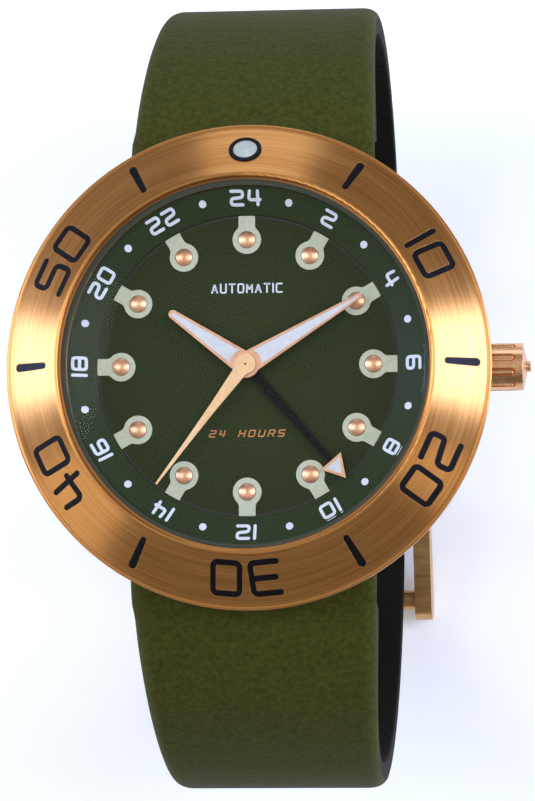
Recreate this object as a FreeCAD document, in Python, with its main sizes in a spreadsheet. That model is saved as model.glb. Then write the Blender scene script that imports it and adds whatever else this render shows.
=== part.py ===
import FreeCAD, Part

import math
import os
import re

import Sketcher

# Dive watch, lying dial up on the back of its closed strap.
# Frame: the origin is the centre of the case back's outer face, on the axis of the hands.
# +Z leaves the dial, +Y points to 12 o'clock and +X to 3 o'clock, where the crown is.

V = FreeCAD.Vector
X_AXIS = V(1, 0, 0)
Y_AXIS = V(0, 1, 0)
Z_AXIS = V(0, 0, 1)
ORIGIN = V(0, 0, 0)

# Driving dimensions in millimetres, degrees and counts.
SIZES = {
    # case middle, neck and bore
    "case_low": 1.4,
    "case_top": 9.6,
    "case_foot_rad": 18.6,
    "case_wide_rad": 22.7,
    "case_side_rad": 24.0,
    "bore_rad": 16.9,
    "back_bore_rad": 17.1,
    "back_bore_top": 4.2,
    "neck_rad": 18.4,
    "neck_top": 13.1,
    "neck_inner_rad": 17.35,
    "crystal_seat": 12.6,
    "wire_seat_low": 10.2,
    "wire_seat_top": 10.7,
    "wire_seat_deep": 0.3,
    "click_seat_in": 19.3,
    "click_seat_out": 21.7,
    "click_seat_deep": 0.45,
    # case back
    "back_rad": 18.2,
    "back_flange": 1.4,
    "back_plug_rad": 17.0,
    "back_plug_top": 3.0,
    "back_inner_rad": 15.4,
    "back_skin": 1.0,
    "back_notch": 2.2,
    "back_notch_count": 6,
    "gasket_wire": 0.35,
    "ear_hole_rad": 0.47,
    # bezel
    "bezel_bore": 18.48,
    "bezel_low": 9.7,
    "bezel_rad": 23.0,
    "bezel_wall_top": 10.45,
    "bezel_step": 0.42,
    "bezel_slope_low": 10.8,
    "bezel_lip_rad": 17.6,
    "bezel_lip_under": 13.3,
    "bezel_lip_top": 14.2,
    "bezel_slope_in_rad": 17.95,
    "bezel_slope_top": 14.23,
    "bezel_teeth": 120,
    "numeral_in_rad": 18.75,
    "numeral_tall": 2.8,
    "numeral_wide": 2.5,
    "numeral_stroke": 0.54,
    "numeral_gap": 0.62,
    "numeral_corner": 0.42,
    "numeral_deep": 0.22,
    "bar_long": 3.2,
    "bar_inner": 0.6,
    "bar_outer": 0.78,
    "pip_ring_rad": 1.55,
    "pip_rad": 1.14,
    "pip_seat_rad": 20.3,
    "pip_deep": 0.35,
    "bezel_seal_low": 11.56,
    "bezel_seal_top": 12.24,
    "bezel_seal_rad": 0.34,
    "bezel_wire_rad": 0.2,
    # crystal, chapter ring and dial
    "crystal_rad": 17.3,
    "crystal_foot_rad": 17.0,
    "crystal_edge_top": 14.0,
    "crystal_shoulder_rad": 16.85,
    "crystal_shoulder": 14.45,
    "crystal_crown": 15.3,
    "dial_low": 10.5,
    "dial_top": 10.9,
    "dial_rad": 16.6,
    "dial_hole": 1.15,
    "ring_in_rad": 14.2,
    "ring_out_rad": 16.85,
    "ring_in_top": 11.15,
    "ring_out_top": 12.45,
    "marker_circle": 11.9,
    "marker_head_rad": 1.35,
    "marker_neck": 1.56,
    "marker_thick": 0.08,
    "stud_rad": 0.78,
    "stud_tall": 0.22,
    "dial_foot_rad": 0.4,
    # hands: undersides, tips, thicknesses, hubs and the bores that their pipes fill
    "gmt_level": 11.3,
    "hour_level": 11.62,
    "minute_level": 11.95,
    "seconds_level": 12.27,
    "hour_tip": 8.85,
    "minute_tip": 12.7,
    "seconds_tip": 14.0,
    "gmt_base": 12.05,
    "gmt_tip": 14.2,
    "hand_thick": 0.15,
    "hand_thin": 0.12,
    "hand_hub": 1.27,
    "hour_bore": 0.76,
    "minute_bore": 0.43,
    "gmt_bore": 1.05,
    # crown, its tube and the stem
    "stem_level": 7.0,
    "crown_end": 25.8,
    "crown_rad": 2.25,
    "crown_skirt": 21.9,
    "crown_flutes": 10,
    "crown_flute_rad": 0.37,
    "crown_flute_end": 24.75,
    "tube_rad": 1.25,
    "tube_bore": 0.62,
    "tube_end": 24.2,
    "stem_rad": 0.45,
    "crown_bore": 1.32,
    "crown_gasket_thick": 0.4,
    # movement
    "move_rad": 12.8,
    "plate_low": 6.2,
    "pivot_low": 3.45,
    "pivot_rad": 0.09,
    "jewel_rad": 0.45,
    "jewel_low": 6.25,
    "jewel_top": 6.9,
    "pillar_rad": 0.9,
    "screw_rad": 0.5,
    "screw_head": 0.28,
    "plate_top": 8.0,
    "bridge_low": 3.2,
    "bridge_top": 4.0,
    "cock_top": 3.75,
    "barrel_x": 3.6,
    "barrel_y": 4.29,
    "third_x": -3.81,
    "third_y": -1.385,
    "escape_x": -0.349,
    "escape_y": -3.989,
    "pallet_x": 1.45,
    "pallet_y": -5.35,
    "balance_x": 3.6,
    "balance_y": -7.2,
    "balance_rad": 4.0,
    "minute_wheel_x": 2.078,
    "minute_wheel_y": -1.2,
    "idler_x": -1.35,
    "idler_y": 2.338,
    "rotor_rad": 12.3,
    "rotor_low": 1.45,
    "rotor_web_low": 2.2,
    "rotor_top": 2.55,
    "rotor_bore": 1.25,
    # strap and buckle
    "bar_y": 20.0,
    "bar_z": 3.4,
    "bar_rad": 0.75,
    "bar_tip_rad": 0.45,
    "ear_rad": 1.75,
    "ear_in": 8.5,
    "ear_out": 10.2,
    "strap_wide": 25.0,
    "strap_narrow": 22.0,
    "strap_side_y": 39.4,
    "strap_side_z": -20.0,
    "strap_shoulder": 28.2,
    "strap_thick": 2.6,
    "strap_bend": 54.4,
    "strap_gap": 0.3,
    "buckle_angle": -10.5,
    "tail_angle": 21.0,
    "slot_long": 5.0,
    "slot_wide": 2.8,
    "slot_pitch": 7.2,
    "buckle_near_rad": 1.7,
    "buckle_far_rad": 2.15,
    "cross_y": -8.4,
    "cross_z": -5.35,
    "cross_rad": 1.05,
    "cheek_wide": 1.8,
    "tang_wide": 1.9,
    "keeper_wide": 5.5,
    "keeper_thick": 1.15,
    "fixed_keeper_angle": 3.2,
    "sliding_keeper_angle": 13.6,
}

# Toothed parts of the movement: teeth, module, underside and top.
GEARS = {
    "cannon_pinion": (12, 0.1, 8.15, 8.55),
    "minute_wheel": (36, 0.1, 8.2, 8.38),
    "minute_leaves": (10, 0.096, 8.38, 8.9),
    "hour_wheel": (40, 0.096, 8.65, 8.85),
    "hour_leaves": (30, 0.09, 9.0, 9.2),
    "idler_wheel": (30, 0.09, 9.0, 9.2),
    "idler_leaves": (15, 0.12, 9.2, 9.7),
    "gmt_wheel": (30, 0.12, 9.4, 9.6),
    "centre_wheel": (72, 0.1, 5.8, 5.95),
    "centre_leaves": (10, 0.14, 5.2, 5.8),
    "third_wheel": (75, 0.0953, 4.7, 4.84),
    "third_leaves": (9, 0.1, 5.7, 6.1),
    "fourth_wheel": (70, 0.104, 4.12, 4.26),
    "fourth_leaves": (10, 0.0953, 4.26, 4.95),
    "barrel_wheel": (70, 0.14, 5.3, 5.6),
    "ratchet": (48, 0.12, 2.86, 3.12),
    "escape_leaves": (7, 0.104, 4.05, 4.55),
}

# One tooth of the escape wheel: the radius of each corner and its turn in degrees.
ESCAPE_TOOTH = [(1.45, 0), (1.5, 8), (1.95, 13), (2.0, 17), (1.5, 11.5), (1.45, 16)]
ESCAPE_TEETH = 15

# The tang's side view in the buckle's frame: post, bend and arm.
TANG_SIDE = [
    (0.65, 0), (0.65, -5.2), (-0.4, -6.3), (-9.2, -7.55), (-9.7, -7.1),
    (-9.4, -6.6), (-1.2, -5.35), (-0.65, -4.9), (-0.65, 0),
]

# Clock angles of the hands at rest, in degrees clockwise from 12.
REST_ANGLES = {"hour": 305.0, "minute": 59.5, "seconds": 217.0, "gmt": 139.0}

# Centre lines of the numerals on a unit square; a closed line repeats its first point.
DIGITS = {
    "0": [[(0, 0), (1, 0), (1, 1), (0, 1), (0, 0)]],
    "1": [[(0.5, 0), (0.5, 1)]],
    "2": [[(0, 1), (1, 1), (1, 0.55), (0, 0.45), (0, 0), (1, 0)]],
    "3": [[(0, 1), (1, 1), (1, 0), (0, 0)], [(0.1, 0.5), (1, 0.5)]],
    "4": [[(0.1, 1), (0, 0.36), (1, 0.36)], [(0.8, 1), (0.8, 0)]],
    "5": [[(1, 1), (0, 1), (0, 0.55), (1, 0.55), (1, 0), (0, 0)]],
}

doc = FreeCAD.newDocument("dive_watch")
sheet = doc.addObject("Spreadsheet::Sheet", "Sizes")
parts = []


def fill_sheet():
    """Write every driving dimension into the sheet, with its name as the cell's alias."""
    for row, (name, value) in enumerate(SIZES.items(), 1):
        sheet.set(f"A{row}", name)
        sheet.set(f"B{row}", str(value))
        sheet.setAlias(f"B{row}", name)
    doc.recompute()


def size(formula):
    """The value of a formula in the sheet's names, such as 'bezel_rad - 0.1'."""
    return float(sheet.evalExpression(str(formula)))


def bound(formula):
    """The same formula as an expression that another object can be bound to."""
    return re.sub(r"[a-z_]{3,}", lambda word: f"Sizes.{word.group(0)}", str(formula))


def keep(label, item):
    """Name an object as one sub-part of the watch."""
    item.Label = label
    parts.append(item)
    return item


def plain(label, shape, placement=None):
    """A sub-part whose shape is made with Part's functions from the sheet's sizes."""
    item = doc.addObject("Part::Feature", label)
    item.Shape = shape
    if placement:
        item.Placement = placement
    return keep(label, item)


# ---------------------------------------------------------------- sketched bodies


def origin_plane(body, role):
    return next(item for item in body.Origin.OriginFeatures if item.Role == role)


def arc_between(start, end, radius):
    """An arc from start to end; a positive radius bulges to the right of that direction."""
    chord = end - start
    middle = (start + end) * 0.5
    side = V(-chord.y, chord.x, 0).normalize()
    reach = math.sqrt(radius * radius - chord.Length ** 2 / 4)
    centre = middle + side * math.copysign(reach, radius)
    first, last = (start, end) if radius > 0 else (end, start)
    angles = [math.atan2(p.y - centre.y, p.x - centre.x) for p in (first, last)]
    circle = Part.Circle(centre, Z_AXIS, abs(radius))
    return Part.ArcOfCircle(circle, angles[0], angles[1])


def draw_outline(sketch, corners):
    """Draw a closed outline and bind each corner, and each arc's radius, to the sheet."""
    points = [V(size(c[0]), size(c[1]), 0) for c in corners]
    ends = []
    for index, corner in enumerate(corners):
        start, end = points[index - 1], points[index]
        if len(corner) == 3:
            radius = size(corner[2])
            edge = sketch.addGeometry(arc_between(start, end, radius), False)
            ends.append((edge, 1, 2) if radius > 0 else (edge, 2, 1))
        else:
            edge = sketch.addGeometry(Part.LineSegment(start, end), False)
            ends.append((edge, 1, 2))
    for index, (edge, first, last) in enumerate(ends):
        before, _, joint = ends[index - 1]
        sketch.addConstraint(Sketcher.Constraint("Coincident", before, joint, edge, first))
    for (edge, _, last), corner, point in zip(ends, corners, points):
        for kind, value, formula in (("DistanceX", point.x, corner[0]), ("DistanceY", point.y, corner[1])):
            row = sketch.addConstraint(Sketcher.Constraint(kind, -1, 1, edge, last, value))
            sketch.setExpression(f"Constraints[{row}]", bound(formula))
        if len(corner) == 3:
            row = sketch.addConstraint(Sketcher.Constraint("Radius", edge, abs(size(corner[2]))))
            sketch.setExpression(f"Constraints[{row}]", f"abs({bound(corner[2])})")


def new_sketch(body, role, *outlines):
    sketch = body.newObject("Sketcher::SketchObject", f"{body.Name}_outline")
    sketch.AttachmentSupport = [(origin_plane(body, role), "")]
    sketch.MapMode = "FlatFace"
    for corners in outlines:
        draw_outline(sketch, corners)
    return sketch


def new_body(label):
    return keep(label, doc.addObject("PartDesign::Body", label))


def add_turning(body, corners, kind="PartDesign::Revolution"):
    """Turn an outline of (radius, height) corners about the body's own Z axis."""
    sketch = new_sketch(body, "XZ_Plane", corners)
    turning = body.newObject(kind, f"{body.Name}_turned")
    turning.Profile = sketch
    turning.ReferenceAxis = (sketch, ["V_Axis"])
    turning.Angle = 360
    return turning


def turned(label, corners):
    body = new_body(label)
    add_turning(body, corners)
    return body


# ---------------------------------------------------------------- shapes made with Part


def disc(radius, low, top, x=0.0, y=0.0):
    return Part.makeCylinder(radius, top - low, V(x, y, low))


def tube(outer, inner, low, top, x=0.0, y=0.0):
    return disc(outer, low, top, x, y).cut(disc(inner, low - 1, top + 1, x, y))


def block(x0, x1, y0, y1, z0, z1):
    return Part.makeBox(x1 - x0, y1 - y0, z1 - z0, V(x0, y0, z0))


def x_rod(radius, x0, x1, y, z):
    return Part.makeCylinder(radius, x1 - x0, V(x0, y, z), X_AXIS)


def prism(points, low, top):
    """An upright prism on a polygon of (x, y) points."""
    wire = Part.makePolygon([V(x, y, low) for x, y in points] + [V(*points[0], low)])
    return Part.Face(wire).extrude(V(0, 0, top - low))


def side_prism(edges, x0, x1):
    """A prism along X on a closed chain of edges in the YZ plane."""
    face = Part.Face(Part.Wire(edges))
    face.translate(V(x0, 0, 0))
    return face.extrude(V(x1 - x0, 0, 0))


def around(shape, count, first=0.0):
    """Copies of a shape, evenly turned about Z."""
    copies = []
    for step in range(count):
        one = shape.copy()
        one.rotate(ORIGIN, Z_AXIS, first + step * 360.0 / count)
        copies.append(one)
    return copies


def at_clock(shape, degrees):
    """A shape drawn towards 12, turned clockwise to another clock angle."""
    one = shape.copy()
    one.rotate(ORIGIN, Z_AXIS, -degrees)
    return one


def joined(shapes):
    whole = shapes[0].multiFuse(shapes[1:]) if len(shapes) > 1 else shapes[0]
    return whole.removeSplitter()


def gear(name, partner=None, spot=(0.0, 0.0)):
    """A toothed part of the table, about its own axis; a partner on the centre axis sets its mesh."""
    teeth, module, low, top = GEARS[name]
    phase = mesh_phase(teeth, *spot, GEARS[partner][0]) if partner else 0.0
    pitch = teeth * module / 2
    tip = pitch + 0.9 * module
    root = pitch - 1.25 * module
    step = 2 * math.pi / teeth
    points = []
    for tooth in range(teeth):
        middle = tooth * step + math.radians(phase)
        for radius, share in ((root, -0.27), (tip, -0.09), (tip, 0.09), (root, 0.27)):
            angle = middle + share * step
            points.append((radius * math.cos(angle), radius * math.sin(angle)))
    return prism(points, low, top)


def mesh_phase(teeth, x, y, partner_teeth):
    """The turn that sets a wheel at (x, y) in mesh with a partner on the centre axis."""
    line = math.degrees(math.atan2(y, x))
    partner_step = 360.0 / partner_teeth
    share = (line % partner_step) / partner_step
    return line + 180 + (share + 0.5) * 360.0 / teeth


def spokes(wheel, hub, rim, width=0.45):
    """Cut the four windows of a crossed-out wheel between its hub and its rim."""
    box = wheel.BoundBox
    windows = tube(rim, hub, box.ZMin - 1, box.ZMax + 1)
    arm = block(0, rim + 1, -width / 2, width / 2, box.ZMin - 2, box.ZMax + 2)
    for one in around(arm, 4):
        windows = windows.cut(one)
    return wheel.cut(windows)


def bored(shape, radius):
    """A shape with a hole along its own axis."""
    box = shape.BoundBox
    return shape.cut(disc(radius, box.ZMin - 1, box.ZMax + 1)).removeSplitter()


def with_shaft(shape, radius, low, top, x=0.0, y=0.0):
    return shape.fuse(disc(radius, low, top, x, y)).removeSplitter()


def moved(shape, x, y):
    one = shape.copy()
    one.translate(V(x, y, 0))
    return one


# ---------------------------------------------------------------- stroked numerals


def rounded_path(points, corner):
    """Straight runs, and arcs of the corner's radius, along a centre line."""
    closed = points[0] == points[-1]
    line = [V(x, y, 0) for x, y in (points[:-1] if closed else points)]
    count = len(line)
    cuts = {}
    for index, here in enumerate(line):
        if not closed and index in (0, count - 1):
            continue
        back = (line[index - 1] - here).normalize()
        ahead = (line[(index + 1) % count] - here).normalize()
        half = back.getAngle(ahead) / 2
        reach = corner / math.tan(half)
        centre = here + (back + ahead).normalize() * (corner / math.sin(half))
        cuts[index] = (here + back * reach, centre, here + ahead * reach)
    runs = []
    for index in range(count if closed else count - 1):
        after = (index + 1) % count
        start = cuts[index][2] if index in cuts else line[index]
        end = cuts[after][0] if after in cuts else line[after]
        runs.append((start, end))
    return runs, list(cuts.values())


def stroke(points, width, corner, low, top):
    """A stroke of even width with round ends and round corners, as an upright solid."""
    half = width / 2
    runs, bends = rounded_path(points, corner)
    pieces = []
    for start, end in runs:
        side = V(start.y - end.y, end.x - start.x, 0).normalize() * half
        ring = [start + side, end + side, end - side, start - side]
        pieces.append(prism([(p.x, p.y) for p in ring], low, top))
    for entry, centre, leave in bends:
        sector = tube(corner + half, corner - half, low, top, centre.x, centre.y)
        reach = (entry - centre) * 3
        turn = (leave - centre) * 3
        wedge = [centre, centre + reach, centre + reach + turn, centre + turn]
        pieces.append(sector.common(prism([(p.x, p.y) for p in wedge], low, top)))
    if points[0] != points[-1]:
        pieces += [disc(half, low, top, *end) for end in (points[0], points[-1])]
    return joined(pieces)


def numeral(text, low, top):
    """A bezel numeral as upright solids, each digit standing radially, drawn at 12 o'clock."""
    tall, wide = size("numeral_tall"), size("numeral_wide")
    width, corner = size("numeral_stroke"), size("numeral_corner")
    mid_rad = size("numeral_in_rad + numeral_tall / 2")
    widths = [width if digit == "1" else wide + width for digit in text]
    place = -(sum(widths) + size("numeral_gap") * (len(text) - 1)) / 2
    shapes = []
    for digit, across in zip(text, widths):
        centre = place + across / 2
        for line in DIGITS[digit]:
            spots = [((x - 0.5) * wide, y * tall + size("numeral_in_rad")) for x, y in line]
            one = stroke(spots, width, corner, low, top)
            shapes.append(at_clock(one, math.degrees(centre / mid_rad)))
        place += across + size("numeral_gap")
    return shapes


def bezel_bar(low, top):
    """A five-minute bar, a little wider at its outer end, drawn at 12 o'clock."""
    inner, outer = size("bar_inner") / 2, size("bar_outer") / 2
    start, long = size("numeral_in_rad"), size("bar_long")
    near, far = start + inner, start + long - outer
    body = prism([(-inner, near), (inner, near), (outer, far), (-outer, far)], low, top)
    return joined([body, disc(inner, low, top, 0, near), disc(outer, low, top, 0, far)])


def bezel_marks(low, top):
    """All the engraved marks: 10 to 50 at every tenth minute, bars between them."""
    marks = []
    for minute in range(5, 60, 5):
        shapes = numeral(str(minute), low, top) if minute % 10 == 0 else [bezel_bar(low, top)]
        marks.append(joined([at_clock(one, minute * 6) for one in shapes]))
    return marks


# ---------------------------------------------------------------- case


def make_case_middle():
    """Lens-shaped case middle with the neck for the crystal, and four hidden lugs."""
    body = doc.addObject("PartDesign::Body", "case_turning")
    add_turning(body, [
        ("back_bore_rad", "case_low"),
        ("case_foot_rad", "case_low"),
        ("case_wide_rad", "case_top - 0.6", "case_side_rad"),
        ("case_wide_rad", "case_top"),
        ("click_seat_out", "case_top"),
        ("click_seat_out", "case_top - click_seat_deep"),
        ("click_seat_in", "case_top - click_seat_deep"),
        ("click_seat_in", "case_top"),
        ("neck_rad", "case_top"),
        ("neck_rad", "wire_seat_low"),
        ("neck_rad - wire_seat_deep", "wire_seat_low"),
        ("neck_rad - wire_seat_deep", "wire_seat_top"),
        ("neck_rad", "wire_seat_top"),
        ("neck_rad", "neck_top"),
        ("neck_inner_rad", "neck_top"),
        ("neck_inner_rad", "crystal_seat"),
        ("bore_rad", "crystal_seat"),
        ("bore_rad", "back_bore_top"),
        ("back_bore_rad", "back_bore_top"),
    ])
    doc.recompute()
    shape = body.Shape
    for side in (1, -1):
        bar_y = side * size("bar_y")
        groove = size("ear_rad + 0.2")
        shape = shape.cut(x_rod(groove, -size("ear_in"), size("ear_in"), bar_y, size("bar_z")))
        for hand in (1, -1):
            shape = shape.fuse(lug_ear(side, hand))
    level, outside = size("stem_level"), size("case_wide_rad + 1.3")
    crown_hole = x_rod(size("tube_rad"), size("bore_rad - 2"), outside, 0, level)
    recess = x_rod(size("crown_rad + 0.15"), size("crown_skirt - 0.15"), outside, 0, level)
    plain("case_middle", shape.cut(crown_hole).cut(recess).removeSplitter())


def lug_ear(side, hand):
    """One ear of the hidden lugs, with the blind hole for the spring bar's tip."""
    bar_y, bar_z, rad = side * size("bar_y"), size("bar_z"), size("ear_rad")
    inner, outer = sorted((hand * size("ear_in"), hand * size("ear_out")))
    near, far = sorted((side * size("case_foot_rad - 0.4"), bar_y))
    ear = block(inner, outer, near, far, bar_z - rad, bar_z + rad)
    ear = ear.fuse(x_rod(rad, inner, outer, bar_y, bar_z))
    tip = size("ear_out - 0.5")
    return ear.cut(x_rod(size("ear_hole_rad"), -tip, tip, bar_y, bar_z))


def make_case_back():
    """Screw-down case back: a flange with wrench notches and a hollow threaded plug."""
    body = new_body("case_back")
    add_turning(body, [
        ("0", "0"),
        ("back_rad - 0.5", "0"),
        ("back_rad", "0.5"),
        ("back_rad", "back_flange"),
        ("back_plug_rad", "back_flange"),
        ("back_plug_rad", "back_plug_top"),
        ("back_inner_rad", "back_plug_top"),
        ("back_inner_rad", "back_skin"),
        ("0", "back_skin"),
    ])
    doc.recompute()
    sketch = new_sketch(body, "XY_Plane", [
        ("back_rad - 1.6", "-back_notch / 2"),
        ("back_rad + 1", "-back_notch / 2"),
        ("back_rad + 1", "back_notch / 2"),
        ("back_rad - 1.6", "back_notch / 2"),
    ])
    notch = body.newObject("PartDesign::Pocket", "back_notch")
    notch.Profile = sketch
    notch.Reversed = True
    notch.setExpression("Length", "Sizes.back_flange * 0.6")
    doc.recompute()
    ring = body.newObject("PartDesign::PolarPattern", "back_notches")
    ring.Originals = [notch]
    ring.Axis = (sketch, ["N_Axis"])
    ring.Angle = 360
    ring.setExpression("Occurrences", "Sizes.back_notch_count")
    body.Tip = ring


def torus(label, major, minor, level):
    """A round ring seal or wire; its sizes are formulas of the sheet."""
    item = doc.addObject("Part::Torus", label)
    item.setExpression("Radius1", bound(major))
    item.setExpression("Radius2", bound(minor))
    item.setExpression("Placement.Base.z", bound(level))
    return keep(label, item)


def make_case_rings():
    back_gasket_rad = "back_plug_rad - gasket_wire - 0.05"
    torus("case_back_gasket", back_gasket_rad, "gasket_wire", "back_plug_top + gasket_wire")
    torus("bezel_wire", "neck_rad + 0.05", "bezel_wire_rad", "(wire_seat_low + wire_seat_top) / 2")
    seal_level = "(bezel_seal_low + bezel_seal_top) / 2"
    torus("bezel_gasket", "bezel_bore + bezel_seal_rad", "bezel_seal_rad", seal_level)


def make_click_spring():
    """Flat ring spring under the bezel, with three raised fingers for the 120 clicks."""
    low = size("case_top - click_seat_deep")
    inner, outer = size("click_seat_in + 0.1"), size("click_seat_out - 0.1")
    ring = tube(outer, inner, low, low + 0.22)
    finger = block(-1.6, 1.6, inner + 0.6, outer - 0.5, low + 0.1, low + 0.52)
    plain("click_spring", joined([ring] + around(finger, 3, 40)))


def make_spring_bars():
    """Two telescopic spring bars, thicker between the strap's ends than at their tips."""
    bars = []
    for side in (1, -1):
        bar_y = side * size("bar_y")
        tip, long = size("ear_out - 0.6"), size("ear_in - 0.25")
        bar = x_rod(size("bar_rad"), -long, long, bar_y, size("bar_z"))
        tips = x_rod(size("bar_tip_rad"), -tip, tip, bar_y, size("bar_z"))
        bars.append(bar.fuse(tips).removeSplitter())
    plain("spring_bars", Part.makeCompound(bars))


def make_crown_tube():
    """Threaded tube pressed into the case at 3 o'clock."""
    level = size("stem_level")
    outer = x_rod(size("tube_rad"), size("bore_rad + 0.4"), size("tube_end"), 0, level)
    inner = x_rod(size("tube_bore"), size("bore_rad - 1"), size("tube_end + 1"), 0, level)
    plain("crown_tube", outer.cut(inner))


# ---------------------------------------------------------------- bezel


def bezel_corners():
    return [
        ("bezel_bore", "bezel_low"),
        ("bezel_rad - 0.2", "bezel_low"),
        ("bezel_rad", "bezel_low + 0.2"),
        ("bezel_rad", "bezel_wall_top"),
        ("bezel_rad - 0.12", "bezel_wall_top + 0.12"),
        ("bezel_rad - bezel_step + 0.08", "bezel_wall_top + 0.14"),
        ("bezel_rad - bezel_step", "bezel_slope_low"),
        ("bezel_slope_in_rad", "bezel_slope_top"),
        ("bezel_lip_rad", "bezel_lip_top", "0.3"),
        ("bezel_lip_rad", "bezel_lip_under"),
        ("bezel_bore", "bezel_lip_under"),
        ("bezel_bore", "bezel_seal_top"),
        ("bezel_bore + 2 * bezel_seal_rad + 0.02", "bezel_seal_top"),
        ("bezel_bore + 2 * bezel_seal_rad + 0.02", "bezel_seal_low"),
        ("bezel_bore", "bezel_seal_low"),
        ("bezel_bore", "wire_seat_top + 0.1"),
        ("bezel_bore + 0.3", "wire_seat_top + 0.1"),
        ("bezel_bore + 0.3", "wire_seat_low - 0.1"),
        ("bezel_bore", "wire_seat_low - 0.1"),
    ]


def slope_height(radius):
    """Height of the bezel's slope at a radius."""
    run = size("bezel_rad - bezel_step - bezel_slope_in_rad")
    rise = size("bezel_slope_top - bezel_slope_low")
    return size("bezel_slope_low") + (size("bezel_rad - bezel_step") - radius) * rise / run


def slope_shell(above, below):
    """A ring that follows the bezel's slope between two offsets from it."""
    inner, outer = size("bezel_slope_in_rad + 0.1"), size("bezel_rad - bezel_step - 0.05")
    corners = [
        V(inner, 0, slope_height(inner) + below),
        V(outer, 0, slope_height(outer) + below),
        V(outer, 0, slope_height(outer) + above),
        V(inner, 0, slope_height(inner) + above),
    ]
    return Part.Face(Part.makePolygon(corners + corners[:1])).revolve(ORIGIN, Z_AXIS, 360)


def pip_frame():
    """Placement of the luminous pip: on the slope at 12, square to it."""
    rad = size("pip_seat_rad")
    run = size("bezel_rad - bezel_step - bezel_slope_in_rad")
    tilt = math.degrees(math.atan2(size("bezel_slope_top - bezel_slope_low"), run))
    return FreeCAD.Placement(V(0, rad, slope_height(rad)), FreeCAD.Rotation(X_AXIS, -tilt))


def make_bezel():
    """Turning bezel: turned bronze ring, engraved marks, pip seat and click teeth."""
    body = doc.addObject("PartDesign::Body", "bezel_turning")
    add_turning(body, bezel_corners())
    doc.recompute()
    marks = bezel_marks(size("bezel_slope_low - 1"), size("bezel_slope_top + 1"))
    deep = size("numeral_deep")
    cutter = slope_shell(0.6, -deep)
    fill = slope_shell(-0.04, -deep)
    pip_floor = -size("pip_deep")
    seat = disc(size("pip_ring_rad"), pip_floor, 1.5)
    seat.Placement = pip_frame()
    tools = [mark.common(cutter) for mark in marks] + [seat]
    plain("bezel", body.Shape.cut(Part.makeCompound(tools)).cut(click_gaps()))
    plain("bezel_numerals", Part.makeCompound([mark.common(fill) for mark in marks]))
    plain("bezel_pip_ring", tube(size("pip_ring_rad"), size("pip_rad"), pip_floor, 0.12), pip_frame())
    plain("bezel_pip", pip_lens(pip_floor), pip_frame())


def click_gaps():
    """The gaps between the click teeth under the bezel."""
    inner, outer = size("click_seat_in + 0.3"), size("click_seat_out - 0.2")
    low = size("bezel_low")
    gap = block(inner, outer, -0.18, 0.18, low - 0.7, low + 0.25)
    return Part.makeCompound(around(gap, int(size("bezel_teeth"))))


def pip_lens(floor):
    """The pip's luminous disc with a slightly domed face."""
    ball_rad, proud = 6.0, 0.2
    ball = Part.makeSphere(ball_rad, V(0, 0, proud - ball_rad))
    return disc(size("pip_rad"), floor, 2 * proud).common(ball)


# ---------------------------------------------------------------- crystal and dial


def make_crystal():
    """Domed crystal with a polished chamfer, and the ring seal that it is pressed into."""
    rise = "(crystal_crown - crystal_shoulder)"
    dome_rad = f"(crystal_shoulder_rad ^ 2 + {rise} ^ 2) / (2 * {rise})"
    turned("crystal", [
        ("0", "crystal_seat"),
        ("crystal_foot_rad", "crystal_seat"),
        ("crystal_foot_rad", "neck_top"),
        ("crystal_rad", "neck_top"),
        ("crystal_rad", "crystal_edge_top"),
        ("crystal_shoulder_rad", "crystal_shoulder"),
        ("0", "crystal_crown", dome_rad),
    ])
    turned("crystal_gasket", [
        ("crystal_foot_rad", "crystal_seat"),
        ("neck_inner_rad", "crystal_seat"),
        ("neck_inner_rad", "neck_top"),
        ("crystal_foot_rad", "neck_top"),
    ])


def make_chapter_ring():
    """Sloping ring around the dial that carries the 24-hour scale."""
    turned("chapter_ring", [
        ("ring_in_rad", "dial_top"),
        ("ring_out_rad", "dial_top"),
        ("ring_out_rad", "ring_out_top"),
        ("ring_in_rad + 0.12", "ring_in_top + 0.06"),
        ("ring_in_rad", "ring_in_top - 0.06"),
    ])


def make_dial():
    """Dial disc with its centre hole, and two feet that enter the main plate."""
    top, low = size("dial_top"), size("dial_low")
    shape = tube(size("dial_rad"), size("dial_hole"), low, top)
    foot_rad, foot_end = size("dial_foot_rad"), size("plate_low + 0.4")
    feet = [disc(foot_rad, foot_end, low, x, y) for x, y in dial_feet()]
    plain("dial", joined([shape] + feet))


def dial_feet():
    return [(11.3, 3.6), (-11.3, -3.6)]


def lollipop():
    """A luminous hour plot: a round head, and a flared neck out to the chapter ring."""
    low = size("dial_top")
    top = low + size("marker_thick")
    centre, head = size("marker_circle"), size("marker_head_rad")
    half, flare = size("marker_neck") / 2, 0.55
    end = size("ring_in_rad") - 0.04
    reach = half + flare
    rise = math.sqrt((head + flare) ** 2 - reach ** 2)
    touch = head / (head + flare)
    neck = [(-reach * touch, centre + rise * touch), (reach * touch, centre + rise * touch)]
    neck += [(half, centre + rise), (half, end), (-half, end), (-half, centre + rise)]
    hollows = [disc(flare, low - 1, top + 1, hand * reach, centre + rise) for hand in (1, -1)]
    stem = prism(neck, low, top).cut(hollows[0]).cut(hollows[1])
    edge = disc(end, low - 1, top + 1)
    whole = disc(head, low, top, 0, centre).fuse(stem).common(edge)
    return whole.cut(disc(size("stud_rad") - 0.1, low - 1, top + 1, 0, centre)).removeSplitter()


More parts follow.
